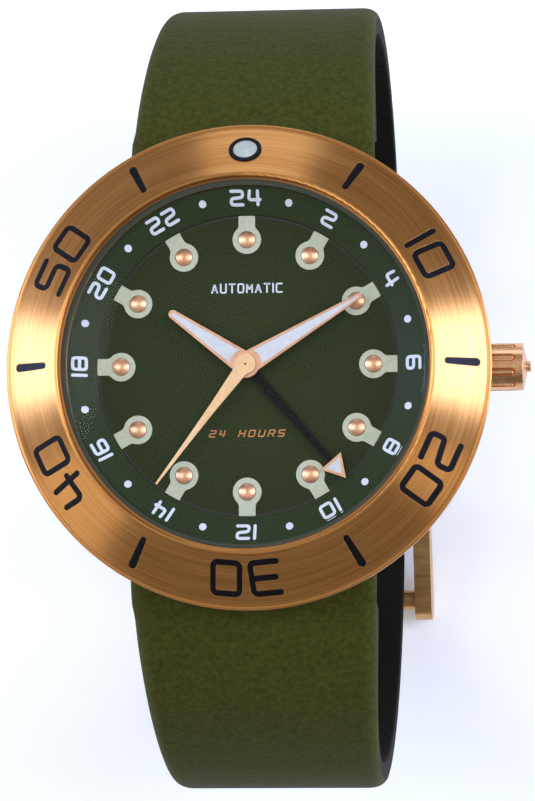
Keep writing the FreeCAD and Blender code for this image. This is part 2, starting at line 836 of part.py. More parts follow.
def stud():
    """A polished dome on a short shank that stands in the plot's hole."""
    low = size("dial_top + marker_thick")
    rad, tall = size("stud_rad"), size("stud_tall")
    ball_rad = (rad ** 2 + tall ** 2) / (2 * tall)
    centre = size("marker_circle")
    ball = Part.makeSphere(ball_rad, V(0, centre, low + tall - ball_rad))
    dome = disc(rad, low, low + tall + 0.1, 0, centre).common(ball)
    return dome.fuse(disc(rad - 0.1, size("dial_top"), low, 0, centre)).removeSplitter()


def make_markers():
    plain("marker_lume", Part.makeCompound(around(lollipop(), 12)))
    plain("marker_studs", Part.makeCompound(around(stud(), 12)))


# ---------------------------------------------------------------- hands


def hand_plate(outline, low, thick, hub_rad, bore, window=None):
    """A flat hand towards 12: its blade, its round hub and any window for lume."""
    blade = prism(outline, low, low + thick).fuse(disc(hub_rad, low, low + thick))
    if window:
        blade = blade.cut(lume_prism(window, low - 1, low + thick + 1))
    if bore:
        blade = blade.cut(disc(bore, low - 1, low + thick + 1))
    return blade.removeSplitter()


def arc_points(x, y, radius, start, end, count=8):
    angles = [math.radians(start + (end - start) * step / count) for step in range(count + 1)]
    return [(x + radius * math.cos(a), y + radius * math.sin(a)) for a in angles]


def blade_outline(root, root_half, tip, tip_rad):
    """A blade that narrows from its root to a round tip."""
    return [(-root_half, root), (root_half, root)] + arc_points(0, tip - tip_rad, tip_rad, 0, 180)


def lume_prism(window, low, high):
    """A hand's luminous strip, which ends in an arc round the hub."""
    return prism(window, low, high).cut(disc(size("hand_hub + 0.23"), low, high))


def make_lumed_hand(name, tip_rad):
    """An hour or minute hand: a metal frame with a luminous strip in its window."""
    root, root_half, rim = 0.6, 1.08, 0.28
    low, thick, tip = size(f"{name}_level"), size("hand_thick"), size(f"{name}_tip")
    outline = blade_outline(root, root_half, tip, tip_rad)
    window = blade_outline(0.9, root_half - rim, tip - 0.3, max(tip_rad - 0.2, 0.08))
    angle = REST_ANGLES[name]
    frame = hand_plate(outline, low, thick, size("hand_hub"), size(f"{name}_bore"), window)
    plain(f"{name}_hand", at_clock(frame, angle))
    plain(f"{name}_hand_lume", at_clock(lume_prism(window, low + 0.01, low + thick - 0.03), angle))


def make_gmt_hand():
    """The 24-hour hand: a dark stem, a framed triangle and its luminous filling."""
    low, thick, base, tip = size("gmt_level"), size("hand_thin"), size("gmt_base"), size("gmt_tip")
    half, rim = 1.23, 0.42
    angle = REST_ANGLES["gmt"]
    outline = [(-0.47, 0.5), (0.47, 0.5), (0.27, base), (-0.27, base)]
    stem = hand_plate(outline, low, thick, size("hand_hub"), size("gmt_bore"))
    frame = [(-half, base), (half, base), (0, tip)]
    inside = [(rim - half, base + 0.24), (half - rim, base + 0.24), (0, tip - 0.5)]
    triangle = prism(frame, low, low + thick).cut(prism(inside, low - 1, low + 1))
    plain("gmt_hand", at_clock(stem, angle))
    plain("gmt_hand_tip", at_clock(triangle, angle))
    plain("gmt_hand_lume", at_clock(prism(inside, low + 0.01, low + thick - 0.02), angle))


def make_seconds_hand():
    """Centre seconds hand: a long taper without a counterweight, and its closed hub."""
    tip = size("seconds_tip")
    side = [(0.66, 0.5), (0.38, 4.9), (0.22, 9.2), (0.09, tip)]
    outline = side + [(-x, y) for x, y in reversed(side)]
    shape = hand_plate(outline, size("seconds_level"), size("hand_thin"), 0.95, 0)
    plain("seconds_hand", at_clock(shape, REST_ANGLES["seconds"]))


def make_hands():
    make_gmt_hand()
    make_lumed_hand("hour", 0.42)
    make_lumed_hand("minute", 0.24)
    make_seconds_hand()


# ---------------------------------------------------------------- motion work on the dial side


def make_motion_work():
    """Cannon pinion, minute wheel, hour wheel, and the pair that halves it for 24 hours."""
    plain("cannon_pinion", bored(piped("cannon_pinion", "minute_bore", "minute_level + hand_thick"), 0.2))
    hour = piped("hour_wheel", "hour_bore", "hour_level + hand_thick")
    plain("hour_wheel", bored(hour.fuse(gear("hour_leaves")), 0.48))
    plain("gmt_wheel", bored(piped("gmt_wheel", "gmt_bore", "gmt_level + hand_thin"), 0.81))
    make_minute_wheel()
    make_idler_wheel()


def piped(name, outside, top):
    """A wheel of the table with the pipe that carries its hand."""
    return with_shaft(gear(name), size(outside), GEARS[name][2], size(top))


def make_minute_wheel():
    spot = size("minute_wheel_x"), size("minute_wheel_y")
    shape = gear("minute_wheel", "cannon_pinion", spot).fuse(gear("minute_leaves", "hour_wheel", spot))
    plain("minute_wheel", moved(bored(shape, 0.22), *spot))


def make_idler_wheel():
    spot = size("idler_x"), size("idler_y")
    shape = gear("idler_wheel", "hour_leaves", spot).fuse(gear("idler_leaves", "gmt_wheel", spot))
    plain("gmt_idler_wheel", moved(bored(shape, 0.26), *spot))


# ---------------------------------------------------------------- going train and escapement


def make_train():
    """Centre, third and fourth wheels and the barrel, in mesh at rest."""
    centre = spokes(gear("centre_wheel"), 0.8, 3.05).fuse(gear("centre_leaves"))
    plain("centre_wheel", bored(with_shaft(centre, 0.42, GEARS["centre_wheel"][3], 8.1), 0.2))
    fourth = spokes(gear("fourth_wheel"), 0.7, 3.1).fuse(gear("fourth_leaves"))
    plain("fourth_wheel", with_shaft(fourth, 0.16, size("pivot_low"), size("seconds_level")))
    make_third_wheel()
    make_barrel()


def make_third_wheel():
    spot = size("third_x"), size("third_y")
    wheel = spokes(gear("third_wheel", "fourth_leaves", spot), 0.7, 3.05)
    whole = with_shaft(wheel.fuse(gear("third_leaves", "centre_wheel", spot)), 0.22, 4.1, 6.15)
    plain("third_wheel", moved(with_shaft(whole, 0.1, size("pivot_low"), size("jewel_top")), *spot))


def make_barrel():
    """Barrel drum with its teeth, the mainspring inside, and the arbor with ratchet wheel."""
    spot = size("barrel_x"), size("barrel_y")
    wheel_low, ratchet_top = GEARS["barrel_wheel"][2], GEARS["ratchet"][3]
    drum_rad, drum_low, wall, skin = 4.6, 4.35, 0.3, 0.15
    drum = gear("barrel_wheel", "centre_leaves", spot).fuse(disc(drum_rad, drum_low, wheel_low))
    drum = drum.cut(disc(drum_rad - wall, drum_low + skin, wheel_low + 0.1))
    plain("mainspring_barrel", moved(bored(drum, 0.78), *spot))
    spring = spiral_band(1.3, drum_rad - wall - 0.1, 7, 0.14, drum_low + 0.25, wheel_low)
    plain("mainspring", moved(spring, *spot))
    post = with_shaft(gear("ratchet"), 0.72, ratchet_top, 6.1)
    post = with_shaft(with_shaft(post, 1.1, drum_low + 0.25, wheel_low), 0.4, 6.1, 7.2)
    plain("barrel_arbor", moved(post, *spot))


def spiral_band(inner, outer, turns, thick, low, top):
    """A flat spiral spring, as a band of half-circle arcs whose radius steps up."""
    pitch = (outer - inner) / (2 * turns)
    edges_in, edges_out = [], []
    for half in range(2 * turns):
        radius = inner + half * pitch
        sign = -1 if half % 2 else 1
        centre = -sign * pitch / 2
        for bucket, offset in ((edges_in, -thick / 2), (edges_out, thick / 2)):
            reach = radius + pitch / 2 + offset
            start = V(centre + sign * reach, 0, low)
            middle = V(centre, sign * reach, low)
            end = V(centre - sign * reach, 0, low)
            bucket.append(Part.Arc(start, middle, end).toShape())
    caps = [
        straight(edges_in[0].firstVertex().Point, edges_out[0].firstVertex().Point),
        straight(edges_in[-1].lastVertex().Point, edges_out[-1].lastVertex().Point),
    ]
    outline = Part.Wire(Part.__sortEdges__(edges_in + edges_out + caps))
    return Part.Face(outline).extrude(V(0, 0, top - low))


def make_escapement():
    """Escape wheel, pallet fork, balance with its staff, and the hairspring."""
    make_escape_wheel()
    make_pallet_fork()
    make_balance()


def make_escape_wheel():
    spot = size("escape_x"), size("escape_y")
    points = []
    for tooth in range(ESCAPE_TEETH):
        for radius, turn in ESCAPE_TOOTH:
            angle = math.radians(tooth * 360.0 / ESCAPE_TEETH + turn)
            points.append((radius * math.cos(angle), radius * math.sin(angle)))
    wheel = spokes(prism(points, 5.2, 5.34), 0.45, 1.2, 0.3)
    leaves = gear("escape_leaves", "fourth_wheel", spot)
    whole = with_shaft(wheel.fuse(leaves), 0.2, GEARS["escape_leaves"][3], 5.4)
    plain("escape_wheel", moved(with_pivots(whole), *spot))


def with_pivots(shape):
    """A shape on a thin arbor whose ends stand in the two jewels."""
    return with_shaft(shape, size("pivot_rad"), size("pivot_low"), size("jewel_top"))


def toward(start, end):
    """Angle of the line from one arbor to another, in degrees from +X."""
    return math.degrees(math.atan2(end[1] - start[1], end[0] - start[0]))


def make_pallet_fork():
    """Lever with two pallet stones' arms, a forked end and its own staff."""
    spot = size("pallet_x"), size("pallet_y")
    low, top = 5.12, 5.3
    lever = prism([(0, -0.16), (1.9, -0.12), (1.9, 0.12), (0, 0.16)], low, top)
    horn = [(1.8, 0.08), (1.9, 0.34), (2.3, 0.34), (2.3, 0.18)]
    horns = [prism([(along, side * across) for along, across in horn], low, top) for side in (1, -1)]
    fork = lever.fuse(horns[0]).fuse(horns[1])
    fork.rotate(ORIGIN, Z_AXIS, toward(spot, (size("balance_x"), size("balance_y"))))
    arms = prism([(0.2, -0.9), (0.2, 0.9), (-0.12, 0.95), (-0.12, -0.95)], low, top)
    arms.rotate(ORIGIN, Z_AXIS, toward(spot, (size("escape_x"), size("escape_y"))))
    whole = with_pivots(fork.fuse(arms).fuse(disc(0.2, low, top)))
    plain("pallet_fork", moved(whole, *spot))


def make_balance():
    spot = size("balance_x"), size("balance_y")
    rad = size("balance_rad")
    low, top = 4.35, 4.75
    rim = tube(rad, rad - 0.42, low, top)
    arm = block(-rad + 0.2, rad - 0.2, -0.25, 0.25, low + 0.1, top - 0.1)
    roller = disc(0.62, 4.9, 5.06)
    whole = joined([rim, arm, roller, disc(0.2, 3.8, 5.5), disc(0.5, low - 0.05, top + 0.05)])
    plain("balance_wheel", moved(with_pivots(whole), *spot))
    plain("hairspring", moved(spiral_band(0.5, 2.1, 6, 0.06, 3.95, 4.1), *spot))


# ---------------------------------------------------------------- plates, bridges and rotor


def arbor_spots():
    names = ("third", "escape", "pallet", "balance")
    return [(size(f"{name}_x"), size(f"{name}_y")) for name in names]


def bridge_pillars():
    return [(10.8, 4.4), (-3.2, 11.3), (-11.4, 2.6), (-8.6, -7.6)]


def cock_pillar():
    return (9.2, -7.0)


def through(shape, radius, spots):
    """A plate with a round hole at each spot."""
    box = shape.BoundBox
    holes = [disc(radius, box.ZMin - 1, box.ZMax + 1, x, y) for x, y in spots]
    return shape.cut(Part.makeCompound(holes))


def make_main_plate():
    """Main plate with the stem's channel, every arbor's hole, its pillars and its posts."""
    low, top = size("plate_low"), size("plate_top")
    shape = disc(size("move_rad"), low, top)
    shape = shape.cut(x_rod(size("stem_rad + 0.05"), 8.0, size("move_rad + 1"), 0, size("stem_level")))
    shape = through(shape, size("dial_foot_rad + 0.05"), dial_feet())
    shape = through(shape, 0.47, [(0, 0)])
    shape = shape.cut(disc(0.48, low - 1, 7.3, size("barrel_x"), size("barrel_y")))
    for x, y in arbor_spots():
        shape = shape.cut(disc(size("jewel_rad"), low - 1, size("jewel_top + 0.1"), x, y))
    posts = [
        disc(0.2, top, 9.0, size("minute_wheel_x"), size("minute_wheel_y")),
        disc(0.24, top, 9.8, size("idler_x"), size("idler_y")),
    ]
    rad = size("pillar_rad")
    pillars = [disc(rad, size("bridge_top"), low, x, y) for x, y in bridge_pillars()]
    pillars.append(disc(rad, size("cock_top"), low, *cock_pillar()))
    plain("main_plate", joined([shape] + posts + pillars))


def make_bridges():
    """The three-quarter bridge over the train, open where the balance's cock stands."""
    low, top = size("bridge_low"), size("bridge_top")
    whole = disc(size("move_rad - 0.4"), low, top)
    opening = disc(size("balance_rad + 0.6"), low - 1, top + 1, size("balance_x"), size("balance_y"))
    beside = block(2.0, 14, -14, -3.6, low - 1, top + 1)
    bridge = whole.cut(opening).cut(beside)
    bridge = through(bridge, 0.8, [(size("barrel_x"), size("barrel_y"))])
    bridge = through(bridge, size("jewel_rad"), arbor_spots() + [(0, 0)])
    bridge = through(bridge, size("screw_rad"), bridge_pillars())
    plain("train_bridge", bridge.removeSplitter())
    make_balance_cock(low)


def make_balance_cock(low):
    """A tapered arm from its screwed foot to the balance's upper jewel."""
    top = size("cock_top")
    staff, foot = (size("balance_x"), size("balance_y")), cock_pillar()
    long = math.hypot(foot[0] - staff[0], foot[1] - staff[1])
    foot_rad, head_rad = 1.5, 1.3
    arm = prism([(0, 0.9), (0, -0.9), (long, -foot_rad), (long, foot_rad)], low, top)
    arm.rotate(ORIGIN, Z_AXIS, toward(staff, foot))
    cock = joined([moved(arm, *staff), disc(head_rad, low, top, *staff), disc(foot_rad, low, top, *foot)])
    cock = through(cock, size("jewel_rad"), [staff])
    plain("balance_cock", through(cock, size("screw_rad"), [foot]))


def make_jewels():
    """Ruby bearings: one pair to each fast arbor, and one under the seconds arbor."""
    rad, hole = size("jewel_rad"), size("pivot_rad + 0.03")
    low, bridge_top, cock_top = size("bridge_low"), size("bridge_top - 0.05"), size("cock_top - 0.05")
    stones = []
    for spot, top in zip(arbor_spots(), (bridge_top, bridge_top, bridge_top, cock_top)):
        stones.append(tube(rad, hole, low, top, *spot))
        stones.append(tube(rad, hole, size("jewel_low"), size("jewel_top"), *spot))
    stones.append(tube(rad, 0.18, low, bridge_top))
    plain("jewel_bearings", Part.makeCompound(stones))


def slotted_screw(x, y, shank_top):
    """A screw driven from the back: a slotted head under the bridge and its shank."""
    head_top = size("bridge_low")
    head_low = head_top - size("screw_head")
    head = disc(size("pillar_rad - 0.1"), head_low, head_top, x, y)
    head = head.cut(block(x - 1, x + 1, y - 0.1, y + 0.1, head_low - 1, head_low + 0.12))
    return with_shaft(head, size("screw_rad"), head_top, shank_top, x, y)


def make_screws():
    screws = [slotted_screw(x, y, size("bridge_top")) for x, y in bridge_pillars()]
    screws.append(slotted_screw(*cock_pillar(), size("cock_top")))
    plain("bridge_screws", Part.makeCompound(screws))


def make_movement_ring():
    """Holder ring that centres the movement in the case and carries the dial's edge."""
    inner, outer = size("move_rad + 0.03"), size("bore_rad - 0.05")
    low, wall = size("plate_low - 0.4"), 0.8
    shape = tube(outer, inner, low, size("dial_low"))
    shape = shape.cut(tube(outer - wall, inner + wall, size("plate_top"), size("dial_low + 1")))
    shape = shape.cut(x_rod(wall, 10, 20, 0, size("stem_level")))
    tab = block(-1.4, 1.4, inner - 1.4, outer - 1.2, low, size("plate_low - 0.02"))
    plain("movement_ring", joined([shape] + around(tab, 2, 30)))


def make_rotor():
    """Winding rotor: half a disc with two windows and a heavy rim, and the bearing it turns on."""
    rad, low, top, bore = size("rotor_rad"), size("rotor_low"), size("rotor_top"), size("rotor_bore")
    reach, rim_rad = rad + 2, 9.2
    web = disc(rad, size("rotor_web_low"), top).common(block(-reach, reach, -reach, 1.4, 0, 6))
    windows = tube(7.6, 3.2, 0, 6).common(block(-reach, reach, -reach, -1.4, 0, 6))
    web = web.cut(windows.cut(block(-0.8, 0.8, -reach, 0, 0, 6))).cut(disc(bore, 0, 6))
    rim = tube(rad, rim_rad, low, top).common(block(-reach, reach, -reach, 0.2, 0, 6))
    plain("rotor", joined([web, rim, tube(2.2, bore, 1.9, top)]))
    flange_rad, flange = 1.6, 0.2
    post = disc(bore - 0.05, 1.8, 2.8).fuse(disc(flange_rad, top + 0.07, size("bridge_low")))
    post = post.fuse(disc(flange_rad, 1.8 - flange, 1.8))
    plain("rotor_bearing", post.cut(block(-0.9, 0.9, -0.15, 0.15, 0, 1.75)).removeSplitter())


# ---------------------------------------------------------------- crown


def make_crown():
    """Screw-down crown: fluted skirt, plain band and shallow cone with a small pip."""
    level = size("stem_level")
    rad, skirt, end = size("crown_rad"), size("crown_skirt"), size("crown_end")
    shape = x_rod(rad, skirt, end, 0, level)
    cone = Part.makeCone(rad - 0.05, 0.75, 0.35, V(end, 0, level), X_AXIS)
    pip = x_rod(0.52, end + 0.3, end + 0.68, 0, level)
    shape = shape.fuse(cone).fuse(pip)
    flute_rad, flute_end = size("crown_flute_rad"), size("crown_flute_end")
    flute = x_rod(flute_rad, skirt - 1, flute_end, 0, level + rad)
    flute = flute.fuse(Part.makeSphere(flute_rad, V(flute_end, 0, level + rad)))
    count = int(size("crown_flutes"))
    for step in range(count):
        one = flute.copy()
        one.rotate(V(0, 0, level), X_AXIS, (step + 0.5) * 360.0 / count)
        shape = shape.cut(one)
    shape = shape.cut(x_rod(size("crown_bore"), skirt - 1, size("tube_end + 0.55"), 0, level))
    plain("crown", shape.removeSplitter())


def make_crown_inside():
    """The stem, from the movement to the crown, and the seal between crown and tube."""
    level, seal_start = size("stem_level"), size("tube_end + 0.1")
    plain("winding_stem", x_rod(size("stem_rad"), 8.3, size("tube_end + 0.55"), 0, level))
    ring = x_rod(size("tube_rad"), seal_start, seal_start + size("crown_gasket_thick"), 0, level)
    plain("crown_gasket", ring.cut(x_rod(size("stem_rad + 0.05"), 20, 30, 0, level)))


# ---------------------------------------------------------------- strap


def polar(radius, degrees):
    """A point of the strap's bend: its centre is midway between the spring bars."""
    angle = math.radians(degrees)
    return V(0, radius * math.sin(angle), size("bar_z") - radius * math.cos(angle))


def bend_arc(radius, start, end):
    return Part.Arc(polar(radius, start), polar(radius, (start + end) / 2), polar(radius, end)).toShape()


def side_arc(side_y, bend_rad):
    """The arc from the strap's widest point into its bend, and the angle where they meet."""
    drop = size("bar_z - strap_side_z")
    radius = (side_y ** 2 + drop ** 2 - bend_rad ** 2) / (2 * (side_y - bend_rad))
    centre = V(0, side_y - radius, size("strap_side_z"))
    meet = math.degrees(math.atan2(centre.y, drop))
    end = polar(bend_rad, meet)
    middle = centre + ((end - centre).normalize() + V(0, 1, 0)).normalize() * radius
    return Part.Arc(V(0, side_y, size("strap_side_z")), middle, end).toShape(), meet


def shoulder_arc(y, z, side_y):
    """The arc from a point near the case out to the strap's widest point."""
    level = size("strap_side_z")
    run, rise = side_y - y, z - level
    radius = (run ** 2 + rise ** 2) / (2 * run)
    centre = V(0, side_y - radius, level)
    start, end = V(0, y, z), V(0, side_y, level)
    middle = centre + ((start - centre).normalize() + (end - centre).normalize()).normalize() * radius
    return Part.Arc(start, middle, end).toShape()


def straight(start, end):
    return Part.LineSegment(start, end).toShape()


def strap_profile(bend_out, end_angle):
    """Side view of one strap half, from its case end round to its free end at an angle."""
    thick, side_y = size("strap_thick"), size("strap_side_y")
    root_y, shelf = 15, size("bar_z + ear_rad + 0.25")
    root, under, step = V(0, root_y, shoulder_height(root_y)), V(0, 22.4, 2.0), V(0, 22.2, shelf)
    outer_side, meet_out = side_arc(side_y, bend_out)
    inner_side, meet_in = side_arc(side_y - thick, bend_out - thick)
    edges = [
        straight(under, step),
        straight(step, V(0, root.y, shelf)),
        straight(V(0, root.y, shelf), root),
        shoulder_arc(root.y, root.z, side_y),
        outer_side,
        bend_arc(bend_out, meet_out, end_angle),
        straight(polar(bend_out, end_angle), polar(bend_out - thick, end_angle)),
        bend_arc(bend_out - thick, meet_in, end_angle),
        inner_side,
        shoulder_arc(under.y, under.z, side_y - thick),
    ]
    return Part.__sortEdges__(edges)


def shoulder_height(y):
    """Height of the strap's outer face over a point between the case and its widest place."""
    rad = size("strap_shoulder")
    return size("strap_side_z") + math.sqrt(rad ** 2 - (y - size("strap_side_y") + rad) ** 2)


def taper():
    """The strap's front view: full width at the case, narrower from the bend on."""
    wide, narrow = size("strap_wide") / 2, size("strap_narrow") / 2
    points = [(wide, 8), (wide, 0), (narrow, -38), (narrow, -60)]
    points += [(-x, z) for x, z in reversed(points)]
    wire = Part.makePolygon([V(x, -5, z) for x, z in points + points[:1]])
    return Part.Face(wire).extrude(V(0, 60, 0)).fuse(Part.Face(wire).extrude(V(0, -60, 0)))


def case_clearance():
    """The space that the strap leaves for the case middle, a little wider than the case."""
    gap = 0.3
    foot, wide = size("case_foot_rad") + gap, size("case_wide_rad") + gap
    low, high = V(foot, 0, size("case_low")), V(wide, 0, size("case_top - 0.6"))
    arc = arc_between(V(foot, low.z, 0), V(wide, high.z, 0), size("case_side_rad") + gap)
    arc.rotate(FreeCAD.Placement(ORIGIN, X_AXIS, 90))
    top = V(wide, 0, size("bezel_low"))
    axis_top, axis_low = V(0, 0, top.z), V(0, 0, -1)
    foot_low = V(foot, 0, -1)
    edges = [arc.toShape(), straight(high, top), straight(top, axis_top), straight(axis_top, axis_low)]
    edges += [straight(axis_low, foot_low), straight(foot_low, low)]
    face = Part.Face(Part.Wire(Part.__sortEdges__(edges)))
    return face.revolve(ORIGIN, Z_AXIS, 360)


def case_tongue():
    """The strap's case end between the lug ears."""
    half = size("ear_in - 0.2")
    return block(-half, half, size("bar_y"), 22.8, 1.95, size("bar_z + ear_rad + 0.3"))


def strap_blank(bend_out, end_angle):
    """One strap half on the 12 o'clock side, before its free end is finished."""
    edges = strap_profile(bend_out, end_angle)
    wide = size("strap_wide") / 2
    band = side_prism(edges, -wide, wide).common(taper())
    shape = band.fuse(case_tongue()).cut(case_clearance())
    half = size("ear_in - 0.2")
    shape = shape.fuse(x_rod(1.5, -half, half, size("bar_y"), size("bar_z")))
    return shape.cut(x_rod(size("bar_rad + 0.05"), -20, 20, size("bar_y"), size("bar_z")))


def make_strap_upper():
    """The buckle half, from 12 o'clock, with a notched tube round the buckle's bar."""
    angle = size("buckle_angle")
    shape = strap_blank(size("strap_bend"), angle + 1.4)
    spot = buckle_spot()
    half = size("strap_narrow / 2")
    shape = shape.fuse(x_rod(size("strap_thick / 2"), -half, half, spot.y, spot.z))
    shape = shape.cut(x_rod(size("bar_rad + 0.05"), -20, 20, spot.y, spot.z))
    notch = block(-1.45, 1.45, -4, 2.9, -2.5, 2.5)
    notch.Placement = buckle_frame_placement()
    plain("strap_upper", shape.cut(notch).removeSplitter())


def make_strap_lower():
    """The holed half, from 6 o'clock; its tail lies over the buckle half."""
    bend_out = size("strap_bend + strap_thick + strap_gap")
    shape = strap_blank(bend_out, -size("tail_angle"))
    shape = shape.mirror(ORIGIN, Y_AXIS)
    for step in range(-2, 5):
        angle = size("buckle_angle") + step * size("slot_pitch")
        shape = shape.cut(strap_slot(bend_out, angle))
    tip = tail_tip(bend_out)
    plain("strap_lower", shape.cut(tip).removeSplitter())


def strap_slot(bend_out, degrees):
    """A round-ended adjusting slot through the tail."""
    long, wide = size("slot_long"), size("slot_wide")
    reach = (long - wide) / 2
    slot = joined([
        block(-wide / 2, wide / 2, -reach, reach, -4, 4),
        disc(wide / 2, -4, 4, 0, reach),
        disc(wide / 2, -4, 4, 0, -reach),
    ])
    spot = polar(bend_out - size("strap_thick") / 2, degrees)
    slot.Placement = FreeCAD.Placement(spot, FreeCAD.Rotation(X_AXIS, degrees))
    return slot


def tail_tip(bend_out):
    """What is trimmed from the tail's end to make it round."""
    half = size("strap_narrow") / 2
    rest = block(-half - 1, half + 1, -6, 3, -6, 6)
    rest = rest.cut(disc(half + 0.6, -6, 6, 0, -half - 0.6))
    degrees = size("tail_angle")
    spot = polar(bend_out - size("strap_thick") / 2, degrees)
    rest.Placement = FreeCAD.Placement(spot, FreeCAD.Rotation(X_AXIS, degrees))
    return rest


def buckle_spot():
    return polar(size("strap_bend - strap_thick / 2"), size("buckle_angle"))


def buckle_frame_placement():
    """Local frame of the buckle: origin on its bar, +Y along the strap, -Z out of the loop."""
    return FreeCAD.Placement(buckle_spot(), FreeCAD.Rotation(X_AXIS, size("buckle_angle")))


def buckle_side(x0, x1):
    """One cheek of the buckle's frame, from the bar out to the cross bar."""
    near, far = size("buckle_near_rad"), size("buckle_far_rad")
    end_y, end_z = size("cross_y"), size("cross_z - 0.15")
    lean = math.atan2(-end_z, -end_y)
    skew = math.asin((far - near) / math.hypot(end_y, end_z))
    corners = []
    for turn in (math.pi / 2 + skew, -math.pi / 2 - skew):
        angle = math.pi + lean + turn
        corners.append([V(x0, r * math.cos(angle), r * math.sin(angle)) for r in (near, far)])
    reach = V(0, end_y, end_z)
    ring = [corners[0][0], corners[0][1] + reach, corners[1][1] + reach, corners[1][0]]
    web = Part.Face(Part.makePolygon(ring + ring[:1])).extrude(V(x1 - x0, 0, 0))
    return joined([web, x_rod(near, x0, x1, 0, 0), x_rod(far, x0, x1, end_y, end_z)])


def make_buckle():
    """Frame, bar and tang of the pin buckle."""
    half = size("strap_narrow / 2 + 0.4")
    outside = half + size("cheek_wide")
    cross = x_rod(size("cross_rad"), -half, half, size("cross_y"), size("cross_z"))
    frame = joined([buckle_side(half, outside), buckle_side(-outside, -half), cross])
    bar_end = outside - 0.5
    frame = frame.cut(x_rod(size("bar_rad + 0.01"), -bar_end, bar_end, 0, 0))
    plain("buckle_frame", frame, buckle_frame_placement())
    bar = x_rod(size("bar_rad"), -bar_end, bar_end, 0, 0)
    plain("buckle_bar", bar, buckle_frame_placement())
    make_tang()


def make_tang():
    """The tang: an eye round the bar, a post through the slot, an arm onto the cross bar."""
    wide = size("tang_wide")
    corners = [V(-wide / 2, y, z) for y, z in TANG_SIDE]
    arm = Part.Face(Part.makePolygon(corners + corners[:1])).extrude(V(wide, 0, 0))
    eye = x_rod(1.35, -1.2, 1.2, 0, 0)
    shape = arm.fuse(eye).cut(x_rod(size("bar_rad + 0.05"), -3, 3, 0, 0)).removeSplitter()
    plain("buckle_tang", shape, buckle_frame_placement())


def sector(rad_in, rad_out, start, end, half):
    """A curved block along the strap's bend."""
    edges = [
        bend_arc(rad_in, start, end),
        straight(polar(rad_in, end), polar(rad_out, end)),
        bend_arc(rad_out, end, start),
        straight(polar(rad_out, start), polar(rad_in, start)),
    ]
    return side_prism(Part.__sortEdges__(edges), -half, half)


def keeper(label, start, gap):
    """A loop round both layers of the strap; the gap is its play against the buckle half."""
    thick = size("keeper_thick")
    span = math.degrees(size("keeper_wide") / size("strap_bend"))
    rad_in = size("strap_bend - strap_thick") - gap
    rad_out = size("strap_bend + 2 * strap_gap + strap_thick")
    half = size("strap_narrow / 2 + 0.3")
    outer = sector(rad_in - thick, rad_out + thick, start, start + span, half + thick)
    inner = sector(rad_in, rad_out, start - 2, start + span + 2, half)
    plain(label, outer.cut(inner))


def make_keepers():
    keeper("keeper_fixed", size("fixed_keeper_angle"), 0.0)
    keeper("keeper_sliding", size("sliding_keeper_angle"), size("strap_gap"))


# ---------------------------------------------------------------- assembly and export


def build():
    fill_sheet()
    make_case_middle()
    make_case_back()
    make_case_rings()
    make_click_spring()
    make_spring_bars()
    make_crown_tube()
    make_bezel()
    make_crystal()
    make_chapter_ring()
    make_dial()
    make_markers()
    make_hands()
    make_motion_work()
    make_train()
    make_escapement()
    make_main_plate()
    make_bridges()
    make_jewels()
    make_screws()
    make_movement_ring()
    make_rotor()
    make_crown()
    make_crown_inside()
    make_strap_upper()
    make_strap_lower()
    make_buckle()
    make_keepers()
    doc.recompute()


def check():
    """Stop if any object failed, or if any sub-part has no sound solid."""
    for item in doc.Objects:
        if "Invalid" in item.State or "Error" in item.State:
            raise RuntimeError(f"{item.Label} failed: {item.State}")
    for item in parts:
        shape = item.Shape
        if shape.isNull() or not shape.isValid() or not shape.Solids:
            raise RuntimeError(f"{item.Label} has no valid solid")
        if min(solid.Volume for solid in shape.Solids) <= 0:
            raise RuntimeError(f"{item.Label} is inside out")


def export():
    os.makedirs("parts", exist_ok=True)
    for item in parts:
        item.Shape.exportStep(f"parts/{item.Label}.step")
        print(f"{item.Label}: {len(item.Shape.Solids)} solids, {item.Shape.Volume:.3f} mm3")


build()
check()
export()
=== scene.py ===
"""Looks of the dive watch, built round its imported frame: strap, printing, materials, light and camera."""

import math

import bmesh
import bpy
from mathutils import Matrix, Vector


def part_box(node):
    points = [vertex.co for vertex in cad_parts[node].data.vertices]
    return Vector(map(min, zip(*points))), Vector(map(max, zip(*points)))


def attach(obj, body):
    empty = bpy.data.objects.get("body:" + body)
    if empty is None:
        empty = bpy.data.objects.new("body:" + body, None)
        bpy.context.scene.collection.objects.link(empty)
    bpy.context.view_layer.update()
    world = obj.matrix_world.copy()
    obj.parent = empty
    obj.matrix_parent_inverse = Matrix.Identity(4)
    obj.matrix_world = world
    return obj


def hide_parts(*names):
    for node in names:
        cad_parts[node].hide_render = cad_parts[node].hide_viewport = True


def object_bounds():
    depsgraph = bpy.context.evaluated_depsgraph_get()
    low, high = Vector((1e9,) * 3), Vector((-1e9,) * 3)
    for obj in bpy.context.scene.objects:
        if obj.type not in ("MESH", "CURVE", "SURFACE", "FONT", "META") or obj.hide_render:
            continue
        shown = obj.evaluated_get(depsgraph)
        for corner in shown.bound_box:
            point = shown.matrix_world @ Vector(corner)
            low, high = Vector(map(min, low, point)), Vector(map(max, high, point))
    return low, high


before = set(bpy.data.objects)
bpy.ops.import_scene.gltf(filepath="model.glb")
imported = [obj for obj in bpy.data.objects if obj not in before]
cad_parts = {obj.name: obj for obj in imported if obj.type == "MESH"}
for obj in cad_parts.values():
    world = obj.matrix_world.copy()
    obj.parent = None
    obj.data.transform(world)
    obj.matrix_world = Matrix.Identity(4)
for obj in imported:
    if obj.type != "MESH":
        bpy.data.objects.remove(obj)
CAD_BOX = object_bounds()

MM = 0.001
TURN = math.tau

# Driving dimensions of the made pieces, in millimetres and degrees.
BAR_Y, BAR_Z = 20.0, 3.4
STRAP_NARROW, STRAP_THICK, STRAP_GAP = 20.6, 2.6, 0.3
